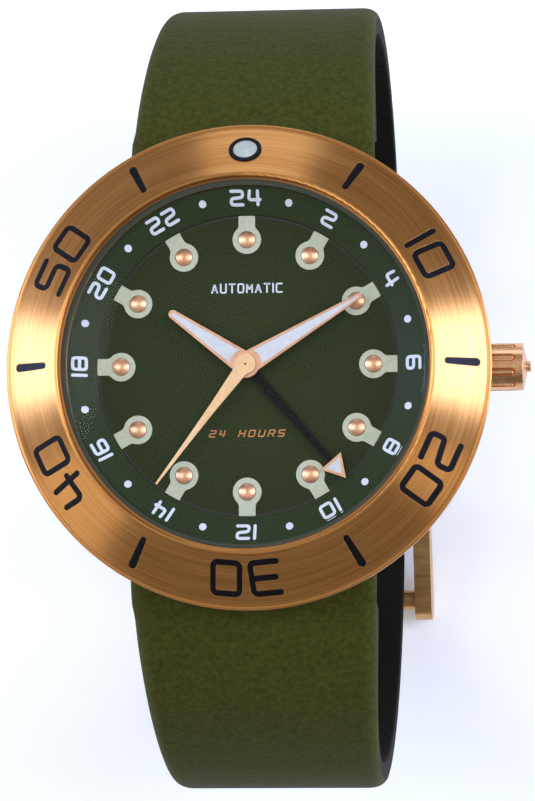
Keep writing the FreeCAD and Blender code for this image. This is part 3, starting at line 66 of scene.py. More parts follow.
# Half the strap's width at falling heights, from the case down to the bend.
STRAP_TAPER = [(8, 11.8), (4, 11.55), (0, 11.25), (-5, 10.95), (-10, 10.7), (-20, 10.4), (-38, 10.3)]
# How far the strap's outer edges roll off, across and in depth, and its inner edges.
EDGE_ACROSS, EDGE_DEEP, EDGE_INNER = 1.5, 1.6, 0.42
SIDE_Y, SIDE_Z, SHOULDER_RAD = 39.4, -20.0, 28.2
BEND_RAD = 54.4
BUCKLE_ANGLE, TAIL_ANGLE = -10.5, 21.0
SLOT_LONG, SLOT_WIDE, SLOT_PITCH = 5.0, 2.8, 7.2
KEEPER_WIDE, KEEPER_THICK = 5.5, 1.15
FIXED_KEEPER, SLIDING_KEEPER = 3.2, 13.6
EAR_IN = 8.5
FOLD_START, NOTCH_HALF = 1.4, 1.45
RING_IN, RING_OUT, RING_LIP = 14.32, 16.85, 0.31
SEAM_RAD = 14.2
CRYSTAL_RAD, CRYSTAL_FLANGE = 17.3, 13.1
NUMERAL_RAD, NUMERAL_TALL, NUMERAL_WIDE, NUMERAL_STROKE = 15.74, 1.22, 1.08, 0.30
DOT_RAD, PRINT_LIFT = 0.35, 0.045
STUD_CIRCLE, STUD_RAD = 11.9, 0.78

# Colour of the painted shade on the strap's side walls and lining.
STRAP_SHADE_PAINT = (0.0035, 0.0038, 0.0010)

# Centre lines of the printed characters on a unit square.
GLYPHS = {
    "0": [[(0, 0), (1, 0), (1, 1), (0, 1), (0, 0)]],
    "1": [[(0.5, 0), (0.5, 1)]],
    "2": [[(0, 1), (1, 1), (1, 0.55), (0, 0.45), (0, 0), (1, 0)]],
    "4": [[(0.1, 1), (0, 0.36), (1, 0.36)], [(0.8, 1), (0.8, 0)]],
    "6": [[(1, 1), (0, 1), (0, 0), (1, 0), (1, 0.5), (0, 0.5)]],
    "8": [[(0, 0), (1, 0), (1, 1), (0, 1), (0, 0)], [(0, 0.5), (1, 0.5)]],
    "A": [[(0, 0), (0.5, 1), (1, 0)], [(0.2, 0.33), (0.8, 0.33)]],
    "C": [[(1, 1), (0, 1), (0, 0), (1, 0)]],
    "H": [[(0, 0), (0, 1)], [(1, 0), (1, 1)], [(0, 0.5), (1, 0.5)]],
    "I": [[(0.5, 0), (0.5, 1)]],
    "M": [[(0, 0), (0, 1), (0.5, 0.3), (1, 1), (1, 0)]],
    "O": [[(0, 0), (1, 0), (1, 1), (0, 1), (0, 0)]],
    "R": [[(0, 0), (0, 1), (1, 1), (1, 0.45), (0, 0.45)], [(0.5, 0.45), (1, 0)]],
    "S": [[(1, 1), (0, 1), (0, 0.5), (1, 0.5), (1, 0), (0, 0)]],
    "T": [[(0, 1), (1, 1)], [(0.5, 1), (0.5, 0)]],
    "U": [[(0, 1), (0, 0), (1, 0), (1, 1)]],
}
NARROW = "1I"


# ---------------------------------------------------------------- materials


class Paint:
    """A material round one Principled shader, with short calls for its nodes and links."""

    def __init__(self, name, **sockets):
        self.material = bpy.data.materials.new(name)
        self.material.use_nodes = True
        self.tree = self.material.node_tree
        self.shader = self.tree.nodes["Principled BSDF"]
        for socket, value in sockets.items():
            self.shader.inputs[socket.replace("_", " ").title().replace("Ior", "IOR")].default_value = value

    def node(self, kind, inputs=None, **settings):
        """A new shader node with its inputs fed and its settings made."""
        made = self.tree.nodes.new("ShaderNode" + kind)
        for setting, value in settings.items():
            setattr(made, setting, value)
        for socket, value in (inputs or {}).items():
            self.feed(value, made.inputs[socket])
        return made

    def feed(self, value, socket):
        """Link a socket's value if it comes from a node, and set it otherwise."""
        if hasattr(value, "is_output"):
            self.tree.links.new(value, socket)
        else:
            socket.default_value = value

    def into(self, socket, value):
        self.tree.links.new(value, self.shader.inputs[socket])

    def math(self, operation, first, second=0.0):
        return self.node("Math", {0: first, 1: second}, operation=operation).outputs[0]

    def place(self):
        return self.node("TexCoord").outputs["Object"]

    def noise(self, vector, scale, detail=3.0, roughness=0.5):
        inputs = {"Vector": vector, "Scale": scale, "Detail": detail, "Roughness": roughness}
        return self.node("TexNoise", inputs).outputs["Fac"]

    def ramp(self, value, low, high, start=0.0, end=1.0):
        """A value's range mapped onto two colours."""
        made = self.node("ValToRGB", {0: value})
        made.color_ramp.elements[0].position = start
        made.color_ramp.elements[1].position = end
        made.color_ramp.elements[0].color = (*low, 1)
        made.color_ramp.elements[1].color = (*high, 1)
        return made.outputs[0]

    def span(self, value, low, high):
        """A value from 0 to 1 mapped onto a range of numbers."""
        inputs = {"Value": value, "To Min": low, "To Max": high}
        return self.node("MapRange", inputs).outputs[0]

    def bump(self, height, strength, distance, normal=None):
        inputs = {"Height": height, "Strength": strength, "Distance": distance * MM}
        if normal:
            inputs["Normal"] = normal
        return self.node("Bump", inputs).outputs[0]

    def soft_edges(self, radius):
        return self.node("Bevel", {"Radius": radius * MM}, samples=4).outputs[0]


def turned_vector(paint, along, across):
    """Coordinates for lines that circle the Z axis: long along the circle, fine across it."""
    place = paint.node("SeparateXYZ", {0: paint.place()})
    x, y, z = place.outputs
    flat = paint.node("CombineXYZ", {0: x, 1: y}).outputs[0]
    radius = paint.node("VectorMath", {0: flat}, operation="LENGTH").outputs["Value"]
    unit = paint.node("VectorMath", {0: flat}, operation="NORMALIZE").outputs[0]
    spread = paint.node("SeparateXYZ", {0: unit})
    depth = paint.math("ADD", radius, z)
    parts = {
        0: paint.math("MULTIPLY", spread.outputs[0], along),
        1: paint.math("MULTIPLY", spread.outputs[1], along),
        2: paint.math("MULTIPLY", depth, across / MM),
    }
    return paint.node("CombineXYZ", parts).outputs[0]


def turned_metal(name, dark, light, roughness, anisotropic=0.75, grain=0.12):
    """Metal brushed in circles about Z."""
    paint = Paint(name, metallic=1.0, anisotropic=anisotropic)
    lines = paint.noise(turned_vector(paint, 1.6, 22.0), 1.0, 2.0, 0.55)
    broad = paint.noise(turned_vector(paint, 0.7, 2.2), 1.0, 1.0)
    mixed = paint.math("ADD", paint.math("MULTIPLY", lines, 0.75), paint.math("MULTIPLY", broad, 0.25))
    paint.into("Base Color", paint.ramp(mixed, dark, light, 0.30, 0.70))
    paint.into("Roughness", paint.span(lines, roughness * 0.85, roughness * 1.2))
    tangent = paint.node("Tangent", direction_type="RADIAL", axis="Z")
    paint.into("Tangent", tangent.outputs[0])
    paint.shader.inputs["Anisotropic Rotation"].default_value = 0.25
    paint.into("Normal", paint.bump(lines, grain, 0.02, paint.soft_edges(0.06)))
    return paint.material


def satin_metal(name, dark, light, roughness, stretch=(1, 1, 1), scale=2200.0, edge=0.06, grain=0.12):
    """Fine blasted or straight-brushed metal with softened edges."""
    paint = Paint(name, metallic=1.0)
    vector = paint.node("Mapping", {"Vector": paint.place(), "Scale": stretch}).outputs[0]
    fine = paint.noise(vector, scale, 3.0, 0.6)
    cloud = paint.noise(paint.place(), 260.0, 3.0)
    mixed = paint.math("ADD", paint.math("MULTIPLY", fine, 0.5), paint.math("MULTIPLY", cloud, 0.5))
    paint.into("Base Color", paint.ramp(mixed, dark, light, 0.35, 0.65))
    paint.into("Roughness", paint.span(fine, roughness * 0.75, roughness * 1.3))
    paint.into("Normal", paint.bump(fine, grain, 0.015, paint.soft_edges(edge)))
    return paint.material


def matte_paint(name, dark, light, roughness, scale=900.0, grain=0.1, **sockets):
    """Lacquer, print or luminous paint with a faint grain."""
    paint = Paint(name, **sockets)
    fine = paint.noise(paint.place(), scale, 4.0, 0.6)
    paint.into("Base Color", paint.ramp(fine, dark, light, 0.3, 0.7))
    paint.into("Roughness", paint.span(fine, roughness * 0.85, roughness * 1.15))
    paint.into("Normal", paint.bump(fine, grain, 0.01))
    return paint.material


def dial_paint(name, centre, edge, roughness):
    """Satin dial lacquer that darkens a little towards its rim, with a fine circular grain."""
    paint = Paint(name, specular_ior_level=0.10)
    flat = paint.node("Mapping", {"Vector": paint.place(), "Scale": (1, 1, 0)}).outputs[0]
    radius = paint.node("VectorMath", {0: flat}, operation="LENGTH").outputs["Value"]
    share = paint.math("MULTIPLY", radius, 1 / (RING_OUT * MM))
    cloud = paint.noise(paint.place(), 70.0, 2.0)
    share = paint.math("ADD", share, paint.math("MULTIPLY", paint.math("SUBTRACT", cloud, 0.5), 0.5))
    paint.into("Base Color", paint.ramp(share, centre, edge, 0.1, 1.0))
    grain = paint.noise(turned_vector(paint, 30.0, 6.0), 1.0, 3.0)
    paint.into("Roughness", paint.span(grain, roughness * 0.85, roughness * 1.2))
    paint.into("Normal", paint.bump(grain, 0.08, 0.01))
    return paint.material


def rubber(name, dark, light, grain):
    """Moulded strap rubber: a fine stipple, slow mottling, and painted shade on its side walls and lining."""
    paint = Paint(name, specular_ior_level=0.12)
    place = paint.place()
    cells = paint.node("TexVoronoi", {"Vector": place, "Scale": 1700.0}, feature="SMOOTH_F1")
    speck = paint.noise(place, 1900.0, 4.0, 0.65)
    cloud = paint.noise(place, 60.0, 2.0, 0.5)
    tone = paint.math("ADD", paint.math("MULTIPLY", speck, 0.92), paint.math("MULTIPLY", cloud, 0.08))
    face = paint.ramp(tone, dark, light, 0.36, 0.64)
    # Painted shade: faces turned sideways (the side walls) and faces turned towards the loop's middle (the
    # lining) take the dark shade colour, standing in for the shade that falls there.
    normal = paint.node("TexCoord").outputs["Normal"]
    sideways = paint.math("ABSOLUTE", paint.node("SeparateXYZ", {0: normal}).outputs[0])
    wall = paint.node("MapRange", {"Value": sideways, "From Min": 0.985, "From Max": 0.999}).outputs[0]
    middle = (0, 0, SIDE_Z * MM)
    outward = paint.node("VectorMath", {0: place, 1: middle}, operation="SUBTRACT").outputs[0]
    outward = paint.node("VectorMath", {0: outward, 1: (0, 1, 1)}, operation="MULTIPLY").outputs[0]
    facing = paint.node("VectorMath", {0: outward, 1: normal}, operation="DOT_PRODUCT").outputs["Value"]
    lining = paint.node("MapRange", {"Value": facing, "From Min": 0.003, "From Max": -0.003}).outputs[0]
    shade = paint.math("MAXIMUM", wall, lining)
    painted_shade_mix = paint.node("MixRGB", {0: shade, 1: face, 2: (*STRAP_SHADE_PAINT, 1)})
    paint.into("Base Color", painted_shade_mix.outputs[0])
    paint.into("Roughness", paint.span(speck, 0.6, 0.85))
    height = paint.math("ADD", cells.outputs["Distance"], speck)
    paint.into("Normal", paint.bump(height, grain, 0.07))
    return paint.material


def crystal_glass():
    """Clear coated crystal."""
    paint = Paint(
        "crystal_glass", base_color=(0.98, 1.0, 0.985, 1), roughness=0.02,
        transmission_weight=1.0, ior=1.12, specular_ior_level=0.5,
    )
    haze = paint.noise(paint.place(), 300.0, 2.0)
    paint.into("Roughness", paint.span(haze, 0.0, 0.03))
    return paint.material


def ruby():
    """Polished synthetic ruby, a little cloudy."""
    paint = Paint("ruby_jewel", base_color=(0.55, 0.02, 0.10, 1), roughness=0.08, coat_weight=0.6)
    cloud = paint.noise(paint.place(), 1500.0)
    paint.into("Base Color", paint.ramp(cloud, (0.42, 0.01, 0.07), (0.68, 0.03, 0.14)))
    return paint.material


def striped_plate(name, dark, light):
    """Nickel-plated bridge metal with straight polished stripes."""
    paint = Paint(name, metallic=1.0)
    wave = paint.node("TexWave", {"Vector": paint.place(), "Scale": 130.0, "Distortion": 0.4})
    paint.into("Base Color", paint.ramp(wave.outputs["Fac"], dark, light))
    paint.into("Roughness", paint.span(wave.outputs["Fac"], 0.22, 0.4))
    paint.into("Normal", paint.bump(wave.outputs["Fac"], 0.2, 0.02, paint.soft_edges(0.05)))
    return paint.material


def lacquer_black():
    """The black filling of the bezel's engraving."""
    paint = Paint("engraving_black", specular_ior_level=0.12)
    fine = paint.noise(paint.place(), 3800.0, 4.0, 0.7)
    paint.into("Base Color", paint.ramp(fine, (0.0015, 0.0015, 0.0025), (0.008, 0.007, 0.010), 0.35, 0.7))
    paint.into("Roughness", paint.span(fine, 0.28, 0.5))
    paint.into("Normal", paint.bump(fine, 0.3, 0.02))
    return paint.material


def studio_floor():
    """Pale matt floor that glows a little, so that it stays near white."""
    paint = Paint("studio_floor", roughness=0.8, specular_ior_level=0.1, emission_color=(1, 1, 1, 1))
    paint.shader.inputs["Emission Strength"].default_value = 0.2
    cloud = paint.noise(paint.place(), 6.0, 3.0)
    paint.into("Base Color", paint.ramp(cloud, (0.86, 0.86, 0.865), (0.9, 0.9, 0.905)))
    return paint.material


BRONZE = turned_metal("bezel_bronze", (0.44, 0.185, 0.05), (0.66, 0.32, 0.105), 0.30)
CASE_BRONZE = turned_metal("case_bronze", (0.42, 0.19, 0.060), (0.64, 0.33, 0.12), 0.34, 0.6)
BUCKLE_BRONZE = satin_metal("buckle_bronze", (0.48, 0.25, 0.09), (0.74, 0.44, 0.19), 0.34, (0.1, 1, 1))
CROWN_BRONZE = satin_metal("crown_bronze", (0.62, 0.32, 0.15), (0.84, 0.50, 0.28), 0.27, edge=0.05)
ROSE_GOLD = satin_metal("rose_gold", (0.78, 0.42, 0.27), (0.90, 0.53, 0.37), 0.30, edge=0.03)
PALE_GOLD = satin_metal("pale_gold", (0.84, 0.55, 0.33), (0.95, 0.66, 0.42), 0.34, edge=0.02)
COPPER_DOME = satin_metal(
    "copper_dome", (0.74, 0.36, 0.21), (0.95, 0.56, 0.38), 0.36, scale=1500.0, edge=0.02
)
STEEL = satin_metal("brushed_steel", (0.42, 0.42, 0.41), (0.62, 0.61, 0.59), 0.30, (1, 0.08, 1))
BACK_STEEL = turned_metal("back_steel", (0.42, 0.42, 0.41), (0.64, 0.63, 0.61), 0.30, 0.6)
POLISHED_STEEL = satin_metal("polished_steel", (0.50, 0.50, 0.51), (0.66, 0.66, 0.67), 0.15)
BRASS = turned_metal("wheel_brass", (0.60, 0.44, 0.18), (0.78, 0.62, 0.32), 0.28, 0.4)
NICKEL = striped_plate("nickel_plate", (0.46, 0.45, 0.43), (0.68, 0.67, 0.64))
DIAL_GREEN = dial_paint("dial_green", (0.0270, 0.0370, 0.0115), (0.0200, 0.0280, 0.0085), 0.55)
RING_GREEN = dial_paint("ring_green", (0.0190, 0.0290, 0.0100), (0.0240, 0.0370, 0.0135), 0.45)
LUME = matte_paint("lume_pale", (0.44, 0.47, 0.35), (0.54, 0.57, 0.44), 0.7, 2600.0, 0.25)
HAND_LUME = matte_paint("lume_white", (0.56, 0.58, 0.62), (0.66, 0.67, 0.71), 0.6, 2600.0, 0.2)
PIP_LUME = matte_paint("lume_pip", (0.36, 0.40, 0.37), (0.46, 0.50, 0.47), 0.35, 2000.0, 0.1, coat_weight=0.3)
WHITE_PRINT = matte_paint("print_white", (0.60, 0.64, 0.72), (0.70, 0.74, 0.82), 0.55)
ORANGE_PRINT = matte_paint("print_orange", (0.52, 0.20, 0.055), (0.66, 0.28, 0.08), 0.5)
# Dark colour for the seconds arbor's end and for the painted shadow along the dial's seam.
DARK_PRINT_AND_SHADOW = matte_paint("print_dark_and_shadow", (0.002, 0.002, 0.002), (0.006, 0.006, 0.006), 0.5)
BORDER_GREEN = matte_paint("border_green", (0.016, 0.024, 0.011), (0.022, 0.032, 0.015), 0.5)
STUD_LINE = matte_paint("stud_line", (0.16, 0.09, 0.05), (0.24, 0.14, 0.08), 0.5)
BLACK = lacquer_black()
SEAL = matte_paint("seal_rubber", (0.010, 0.010, 0.010), (0.022, 0.022, 0.022), 0.7)
STRAP_RUBBER = rubber("strap_rubber", (0.033, 0.036, 0.0030), (0.060, 0.062, 0.0080), 1.0)

NODE_PAINT = {
    "bezel": BRONZE,
    "case_middle": CASE_BRONZE,
    "buckle_frame": BUCKLE_BRONZE,
    "buckle_tang": BUCKLE_BRONZE,
    "crown": CROWN_BRONZE,
    "hour_hand": ROSE_GOLD,
    "minute_hand": ROSE_GOLD,
    "seconds_hand": PALE_GOLD,
    "gmt_hand_tip": ROSE_GOLD,
    "marker_studs": COPPER_DOME,
    "case_back": BACK_STEEL,
    "crown_tube": STEEL,
    "winding_stem": STEEL,
    "spring_bars": STEEL,
    "click_spring": STEEL,
    "bezel_wire": STEEL,
    "buckle_bar": STEEL,
    "bridge_screws": POLISHED_STEEL,
    "cannon_pinion": POLISHED_STEEL,
    "escape_wheel": POLISHED_STEEL,
    "pallet_fork": POLISHED_STEEL,
    "barrel_arbor": POLISHED_STEEL,
    "mainspring": POLISHED_STEEL,
    "hairspring": POLISHED_STEEL,
    "rotor_bearing": POLISHED_STEEL,
    "main_plate": NICKEL,
    "train_bridge": NICKEL,
    "balance_cock": NICKEL,
    "rotor": NICKEL,
    "movement_ring": NICKEL,
    "jewel_bearings": ruby(),
    "crystal": crystal_glass(),
    "chapter_ring": RING_GREEN,
    "dial": DIAL_GREEN,
    "marker_lume": LUME,
    "hour_hand_lume": HAND_LUME,
    "minute_hand_lume": HAND_LUME,
    "gmt_hand_lume": HAND_LUME,
    "bezel_pip": PIP_LUME,
    "bezel_numerals": BLACK,
    "bezel_pip_ring": BLACK,
    "gmt_hand": BLACK,
    "case_back_gasket": SEAL,
    "bezel_gasket": SEAL,
    "crystal_gasket": SEAL,
    "crown_gasket": SEAL,
}
WHEELS = [
    "minute_wheel", "hour_wheel", "gmt_wheel", "gmt_idler_wheel", "centre_wheel", "third_wheel",
    "fourth_wheel", "mainspring_barrel", "balance_wheel",
]


def paint_nodes():
    """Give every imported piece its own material."""
    for name, material in [*NODE_PAINT.items(), *((wheel, BRASS) for wheel in WHEELS)]:
        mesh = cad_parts[name].data
        mesh.materials.clear()
        mesh.materials.append(material)
    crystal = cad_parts["crystal"]
    crystal.visible_shadow = False
    crystal.visible_diffuse = False
    crystal.visible_glossy = False


# ---------------------------------------------------------------- mesh helpers


def add_mesh(name, verts, faces, material, body, slot, smooth=30.0):
    """A new piece in millimetres, smooth but for edges sharper than the angle, riding on a body."""
    mesh = bpy.data.meshes.new(name)
    mesh.from_pydata([Vector(v) * MM for v in verts], [], faces)
    mesh.materials.append(material)
    piece = bpy.data.objects.new(name, mesh)
    bpy.context.scene.collection.objects.link(piece)
    finish_mesh(piece, smooth)
    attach(piece, body)
    return piece


def finish_mesh(piece, smooth=30.0):
    """Outward faces, and smooth shading that stops at sharp edges."""
    shell = bmesh.new()
    shell.from_mesh(piece.data)
    bmesh.ops.recalc_face_normals(shell, faces=shell.faces)
    shell.to_mesh(piece.data)
    shell.free()
    piece.data.shade_smooth()
    piece.data.set_sharp_from_angle(angle=math.radians(smooth))


def apply_modifiers(piece):
    """Make the piece's modifiers part of its mesh."""
    graph = bpy.context.evaluated_depsgraph_get()
    mesh = bpy.data.meshes.new_from_object(piece.evaluated_get(graph))
    piece.modifiers.clear()
    piece.data = mesh


def cut_away(piece, cutters):
    """Cut closed meshes out of a piece, then drop them."""
    for cutter in cutters:
        cut = piece.modifiers.new("cut", "BOOLEAN")
        cut.object = cutter
        cut.solver = "EXACT"
    apply_modifiers(piece)
    for cutter in cutters:
        bpy.data.objects.remove(cutter)


def loose_mesh(name, verts, faces):
    """A helper mesh in millimetres that isn't a piece."""
    mesh = bpy.data.meshes.new(name)
    mesh.from_pydata([Vector(v) * MM for v in verts], [], faces)
    helper = bpy.data.objects.new(name, mesh)
    bpy.context.scene.collection.objects.link(helper)
    finish_mesh(helper)
    return helper


def skin(rings, loop=False):
    """Faces that join closed rings of equal length, capped at both ends or joined into a loop."""
    count = len(rings[0])
    verts = [point for ring in rings for point in ring]
    faces = []
    last = len(rings) if loop else len(rings) - 1
    for row in range(last):
        ahead = (row + 1) % len(rings)
        here, there = row * count, ahead * count
        for column in range(count):
            right = (column + 1) % count
            faces.append((here + column, here + right, there + right, there + column))
    if not loop:
        faces.append(tuple(range(count))[::-1])
        faces.append(tuple(len(verts) - count + i for i in range(count)))
    return verts, faces


# ---------------------------------------------------------------- printing


def rounded(points, corner, steps=4):
    """A polyline whose inner corners are arcs."""
    closed = points[0] == points[-1]
    line = [Vector(p) for p in (points[:-1] if closed else points)]
    out = []
    for index, here in enumerate(line):
        if not closed and index in (0, len(line) - 1):
            out.append(here)
            continue
        back = (line[index - 1] - here)
        ahead = (line[(index + 1) % len(line)] - here)
        reach = min(corner, back.length * 0.45, ahead.length * 0.45)
        start, end = here + back.normalized() * reach, here + ahead.normalized() * reach
        for step in range(steps + 1):
            t = step / steps
            out.append(start * (1 - t) ** 2 + here * 2 * t * (1 - t) + end * t ** 2)
    return out, closed


def on_circle(middle, radius, angle):
    """The point of a circle at an angle in radians."""
    return Vector((middle[0] + radius * math.cos(angle), middle[1] + radius * math.sin(angle)))


def ribbon(points, width, corner):
    """An even stroke along a polyline, with round ends, as flat vertices and faces."""
    line, closed = rounded(points, corner)
    half = width / 2
    left, right = [], []
    for index, here in enumerate(line):
        before = line[index - 1] if closed or index else here
        after = line[(index + 1) % len(line)] if closed or index < len(line) - 1 else here
        ahead = (after - before).normalized()
        side = Vector((-ahead.y, ahead.x)) * half
        left.append(here + side)
        right.append(here - side)
    verts = left + right
    count = len(line)
    faces = [
        (i, (i + 1) % count, (i + 1) % count + count, i + count)
        for i in range(count if closed else count - 1)
    ]
    if not closed:
        for end, inward in ((0, 1), (count - 1, -1)):
            turn = (line[end] - line[end + inward]).normalized()
            start = math.atan2(turn.y, turn.x) - math.pi / 2
            faces.append(tuple(len(verts) + k for k in range(7)))
            verts += [on_circle(line[end], half, start + k * math.pi / 6) for k in range(7)]
    return verts, faces


def lettering(text, tall, wide, width, gap, slant=0.0):
    """Characters side by side, centred, as flat strokes."""
    shares = [width if letter in NARROW else wide + width for letter in text.replace(" ", "_")]
    place = -(sum(shares) + gap * (len(text) - 1)) / 2
    verts, faces = [], []
    for letter, across in zip(text, shares):
        middle = place + across / 2
        for line in GLYPHS.get(letter, []):
            points = []
            for x, y in line:
                height = (y - 0.5) * tall
                points.append(((x - 0.5) * wide + middle + slant * height, height))
            made, quads = ribbon(points, width, width * 0.9)
            faces += [tuple(i + len(verts) for i in quad) for quad in quads]
            verts += made
        place += across + gap
    return verts, faces


def disc_fan(x, y, radius, steps=24):
    """A flat round dot."""
    return [on_circle((x, y), radius, TURN * k / steps) for k in range(steps)], [tuple(range(steps))]


def annulus(x, y, inner, outer, steps=48):
    """A flat ring."""
    spots = []
    for radius in (inner, outer):
        spots += [on_circle((x, y), radius, TURN * k / steps) for k in range(steps)]
    faces = [(k, (k + 1) % steps, (k + 1) % steps + steps, k + steps) for k in range(steps)]
    return spots, faces


def clockwise(point, degrees):
    """A point drawn towards 12, turned to a clock angle."""
    angle = math.radians(-degrees)
    return Vector((
        point.x * math.cos(angle) - point.y * math.sin(angle),
        point.x * math.sin(angle) + point.y * math.cos(angle),
    ))


def gather(groups):
    """Several lots of vertices and faces as one."""
    verts, faces = [], []
    for made, quads in groups:
        faces += [tuple(i + len(verts) for i in quad) for quad in quads]
        verts += made
    return verts, faces


def ring_height(radius):
    """Height of the sloping ring's face."""
    low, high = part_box("chapter_ring")[0].z / MM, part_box("chapter_ring")[1].z / MM
    start = low + RING_LIP
    return start + (radius - RING_IN) * (high - start) / (RING_OUT - RING_IN)


def print_hour_ring():
    """Even hours from 2 to 24 with dots between them, printed on the sloping ring."""
    groups = []
    for hour in range(2, 26, 2):
        made, quads = lettering(str(hour), NUMERAL_TALL, NUMERAL_WIDE, NUMERAL_STROKE, 0.26)
        groups.append(([clockwise(v + Vector((0, NUMERAL_RAD)), hour * 15) for v in made], quads))
        dot, fan = disc_fan(0, NUMERAL_RAD, DOT_RAD)
        groups.append(([clockwise(v, hour * 15 + 15) for v in dot], fan))
    flat, faces = gather(groups)
    verts = [(v.x, v.y, ring_height(v.length) + PRINT_LIFT) for v in flat]
    add_mesh("hour_ring_print", verts, faces, WHITE_PRINT, "case", "lume")


def print_on_dial(name, groups, material, slot, lift):
    """Flat printing on the dial's face."""
    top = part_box("dial")[1].z / MM + lift
    flat, faces = gather(groups)
    add_mesh(name, [(v.x, v.y, top) for v in flat], faces, material, "case", slot)


def shifted(group, y):
    """The same vertices and faces, moved towards 12."""
    verts, faces = group
    return [v + Vector((0, y)) for v in verts], faces


def print_dial():
    """A painted shadow along the seam between dial and ring, and two generic words."""
    # Painted shadow: a dark ring on the dial where the chapter ring's inner edge would cast shade.
    seam = annulus(0, 0, SEAM_RAD - 0.20, SEAM_RAD + 0.02, 160)
    print_on_dial("dial_seam_shadow", [seam], DARK_PRINT_AND_SHADOW, "black_lacquer", 0.006)
    upper = lettering("AUTOMATIC", 0.80, 0.50, 0.155, 0.17)
    print_on_dial("dial_word_upper", [shifted(upper, 7.3)], WHITE_PRINT, "lume", 0.012)
    lower = lettering("24 HOURS", 0.58, 0.52, 0.105, 0.30, 0.3)
    print_on_dial("dial_word_lower", [shifted(lower, -6.4)], ORANGE_PRINT, "rose_gold", 0.012)


def print_stud_lines():
    """A fine dark line round the foot of each polished dome."""
    groups = []
    for hour in range(12):
        spot = clockwise(Vector((0, STUD_CIRCLE)), hour * 30)
        groups.append(annulus(spot.x, spot.y, STUD_RAD - 0.02, STUD_RAD + 0.055, 32))
    print_on_dial("stud_foot_lines", groups, STUD_LINE, "rose_gold", 0.086)


def print_crystal_border():
    """A dark border printed on the underside of the crystal's flange, over the case's neck."""
    level = CRYSTAL_FLANGE + 0.02
    flat, faces = annulus(0, 0, RING_OUT + 0.01, CRYSTAL_RAD - 0.02, 160)
    verts = [(v.x, v.y, level) for v in flat]
    add_mesh("crystal_border", verts, faces, BORDER_GREEN, "case", "ring_green")


def hub_mark():
    """The dark end of the seconds arbor in its hub."""
    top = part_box("seconds_hand")[1].z / MM + 0.004
    flat, faces = disc_fan(0, 0, 0.10)
    verts = [(v.x, v.y, top) for v in flat]
    add_mesh("seconds_hub_mark", verts, faces, DARK_PRINT_AND_SHADOW, "seconds", "hard_steel")


# ---------------------------------------------------------------- strap


def polar(radius, degrees):
    """A point (y, z) of the bend, whose centre is midway between the spring bars."""
    angle = math.radians(degrees)
    return Vector((radius * math.sin(angle), BAR_Z - radius * math.cos(angle)))


def on_bend(radius, degrees, spot):
    """A point (across, along, out) of a band's own axes, placed at an angle of the bend."""
    across, along, out = spot
    middle, angle = polar(radius, degrees), math.radians(degrees)
    y = middle.x + along * math.cos(angle) - out * math.sin(angle)
    z = middle.y + along * math.sin(angle) + out * math.cos(angle)
    return across, y, z


def arc_run(centre, start, end, count):
    """Points (y, z) along an arc about a centre, both ends included."""
    first = math.atan2(start.y - centre.y, start.x - centre.x)
    last = math.atan2(end.y - centre.y, end.x - centre.x)
    radius = (start - centre).length
    spots = []
    for step in range(count + 1):
        angle = first + (last - first) * step / count
        spots.append(centre + Vector((math.cos(angle), math.sin(angle))) * radius)
    return spots


def strap_face(start, side_y, bend_rad, end_angle):
    """One face of a strap half in side view: shoulder, side and bend."""
    run, rise = side_y - start.x, start.y - SIDE_Z
    shoulder_rad = (run ** 2 + rise ** 2) / (2 * run)
    widest = Vector((side_y, SIDE_Z))
    face = arc_run(Vector((side_y - shoulder_rad, SIDE_Z)), start, widest, 26)
    drop = BAR_Z - SIDE_Z
    side_rad = (side_y ** 2 + drop ** 2 - bend_rad ** 2) / (2 * (side_y - bend_rad))
    centre = Vector((side_y - side_rad, SIDE_Z))
    meet = math.degrees(math.atan2(centre.x, drop))
    face += arc_run(centre, widest, polar(bend_rad, meet), 26)[1:]
    count = 44
    face += [polar(bend_rad, meet + (end_angle - meet) * step / count) for step in range(1, count + 1)]
    return face


def shoulder_top(y):
    """Height of the strap's outer face beside the case."""
    return SIDE_Z + math.sqrt(SHOULDER_RAD ** 2 - (y - SIDE_Y + SHOULDER_RAD) ** 2)


def half_width(z):
    """Half the strap's width: full at the case, narrower towards the back."""
    for (high, wide), (low, narrow) in zip(STRAP_TAPER, STRAP_TAPER[1:]):
        if z > low:
            share = min(max((high - z) / (high - low), 0.0), 1.0)
            return wide + (narrow - wide) * share
    return STRAP_TAPER[-1][1]


def section(outer, inner, half):
    """A band's outline between two points of its side view, with its outer edges rolled off."""
    up = (outer - inner).normalized()
    thick = (outer - inner).length
    deep, small = min(EDGE_DEEP, thick * 0.6), min(EDGE_INNER, thick * 0.2)
    corners = (
        (1, EDGE_ACROSS, thick - deep, deep, 0.0),
        (-1, EDGE_ACROSS, thick - deep, deep, 90.0),
        (-1, small, small, small, 180.0),
        (1, small, small, small, 270.0),
    )
    ring = []
    for hand, across, level, tall, first in corners:
        for step in range(7):
            angle = math.radians(first + step * 15)
            corner = hand * (half - across)
            ring.append((corner + across * math.cos(angle), level + tall * math.sin(angle)))
        if first == 0.0:
            ring += [((half - across) * share, thick) for share in (0.7, 0.35, 0.0, -0.35, -0.7)]
    spots = []
    for across, height in ring:
        place = inner + up * height
        spots.append((across, place.x, place.y))
    return spots


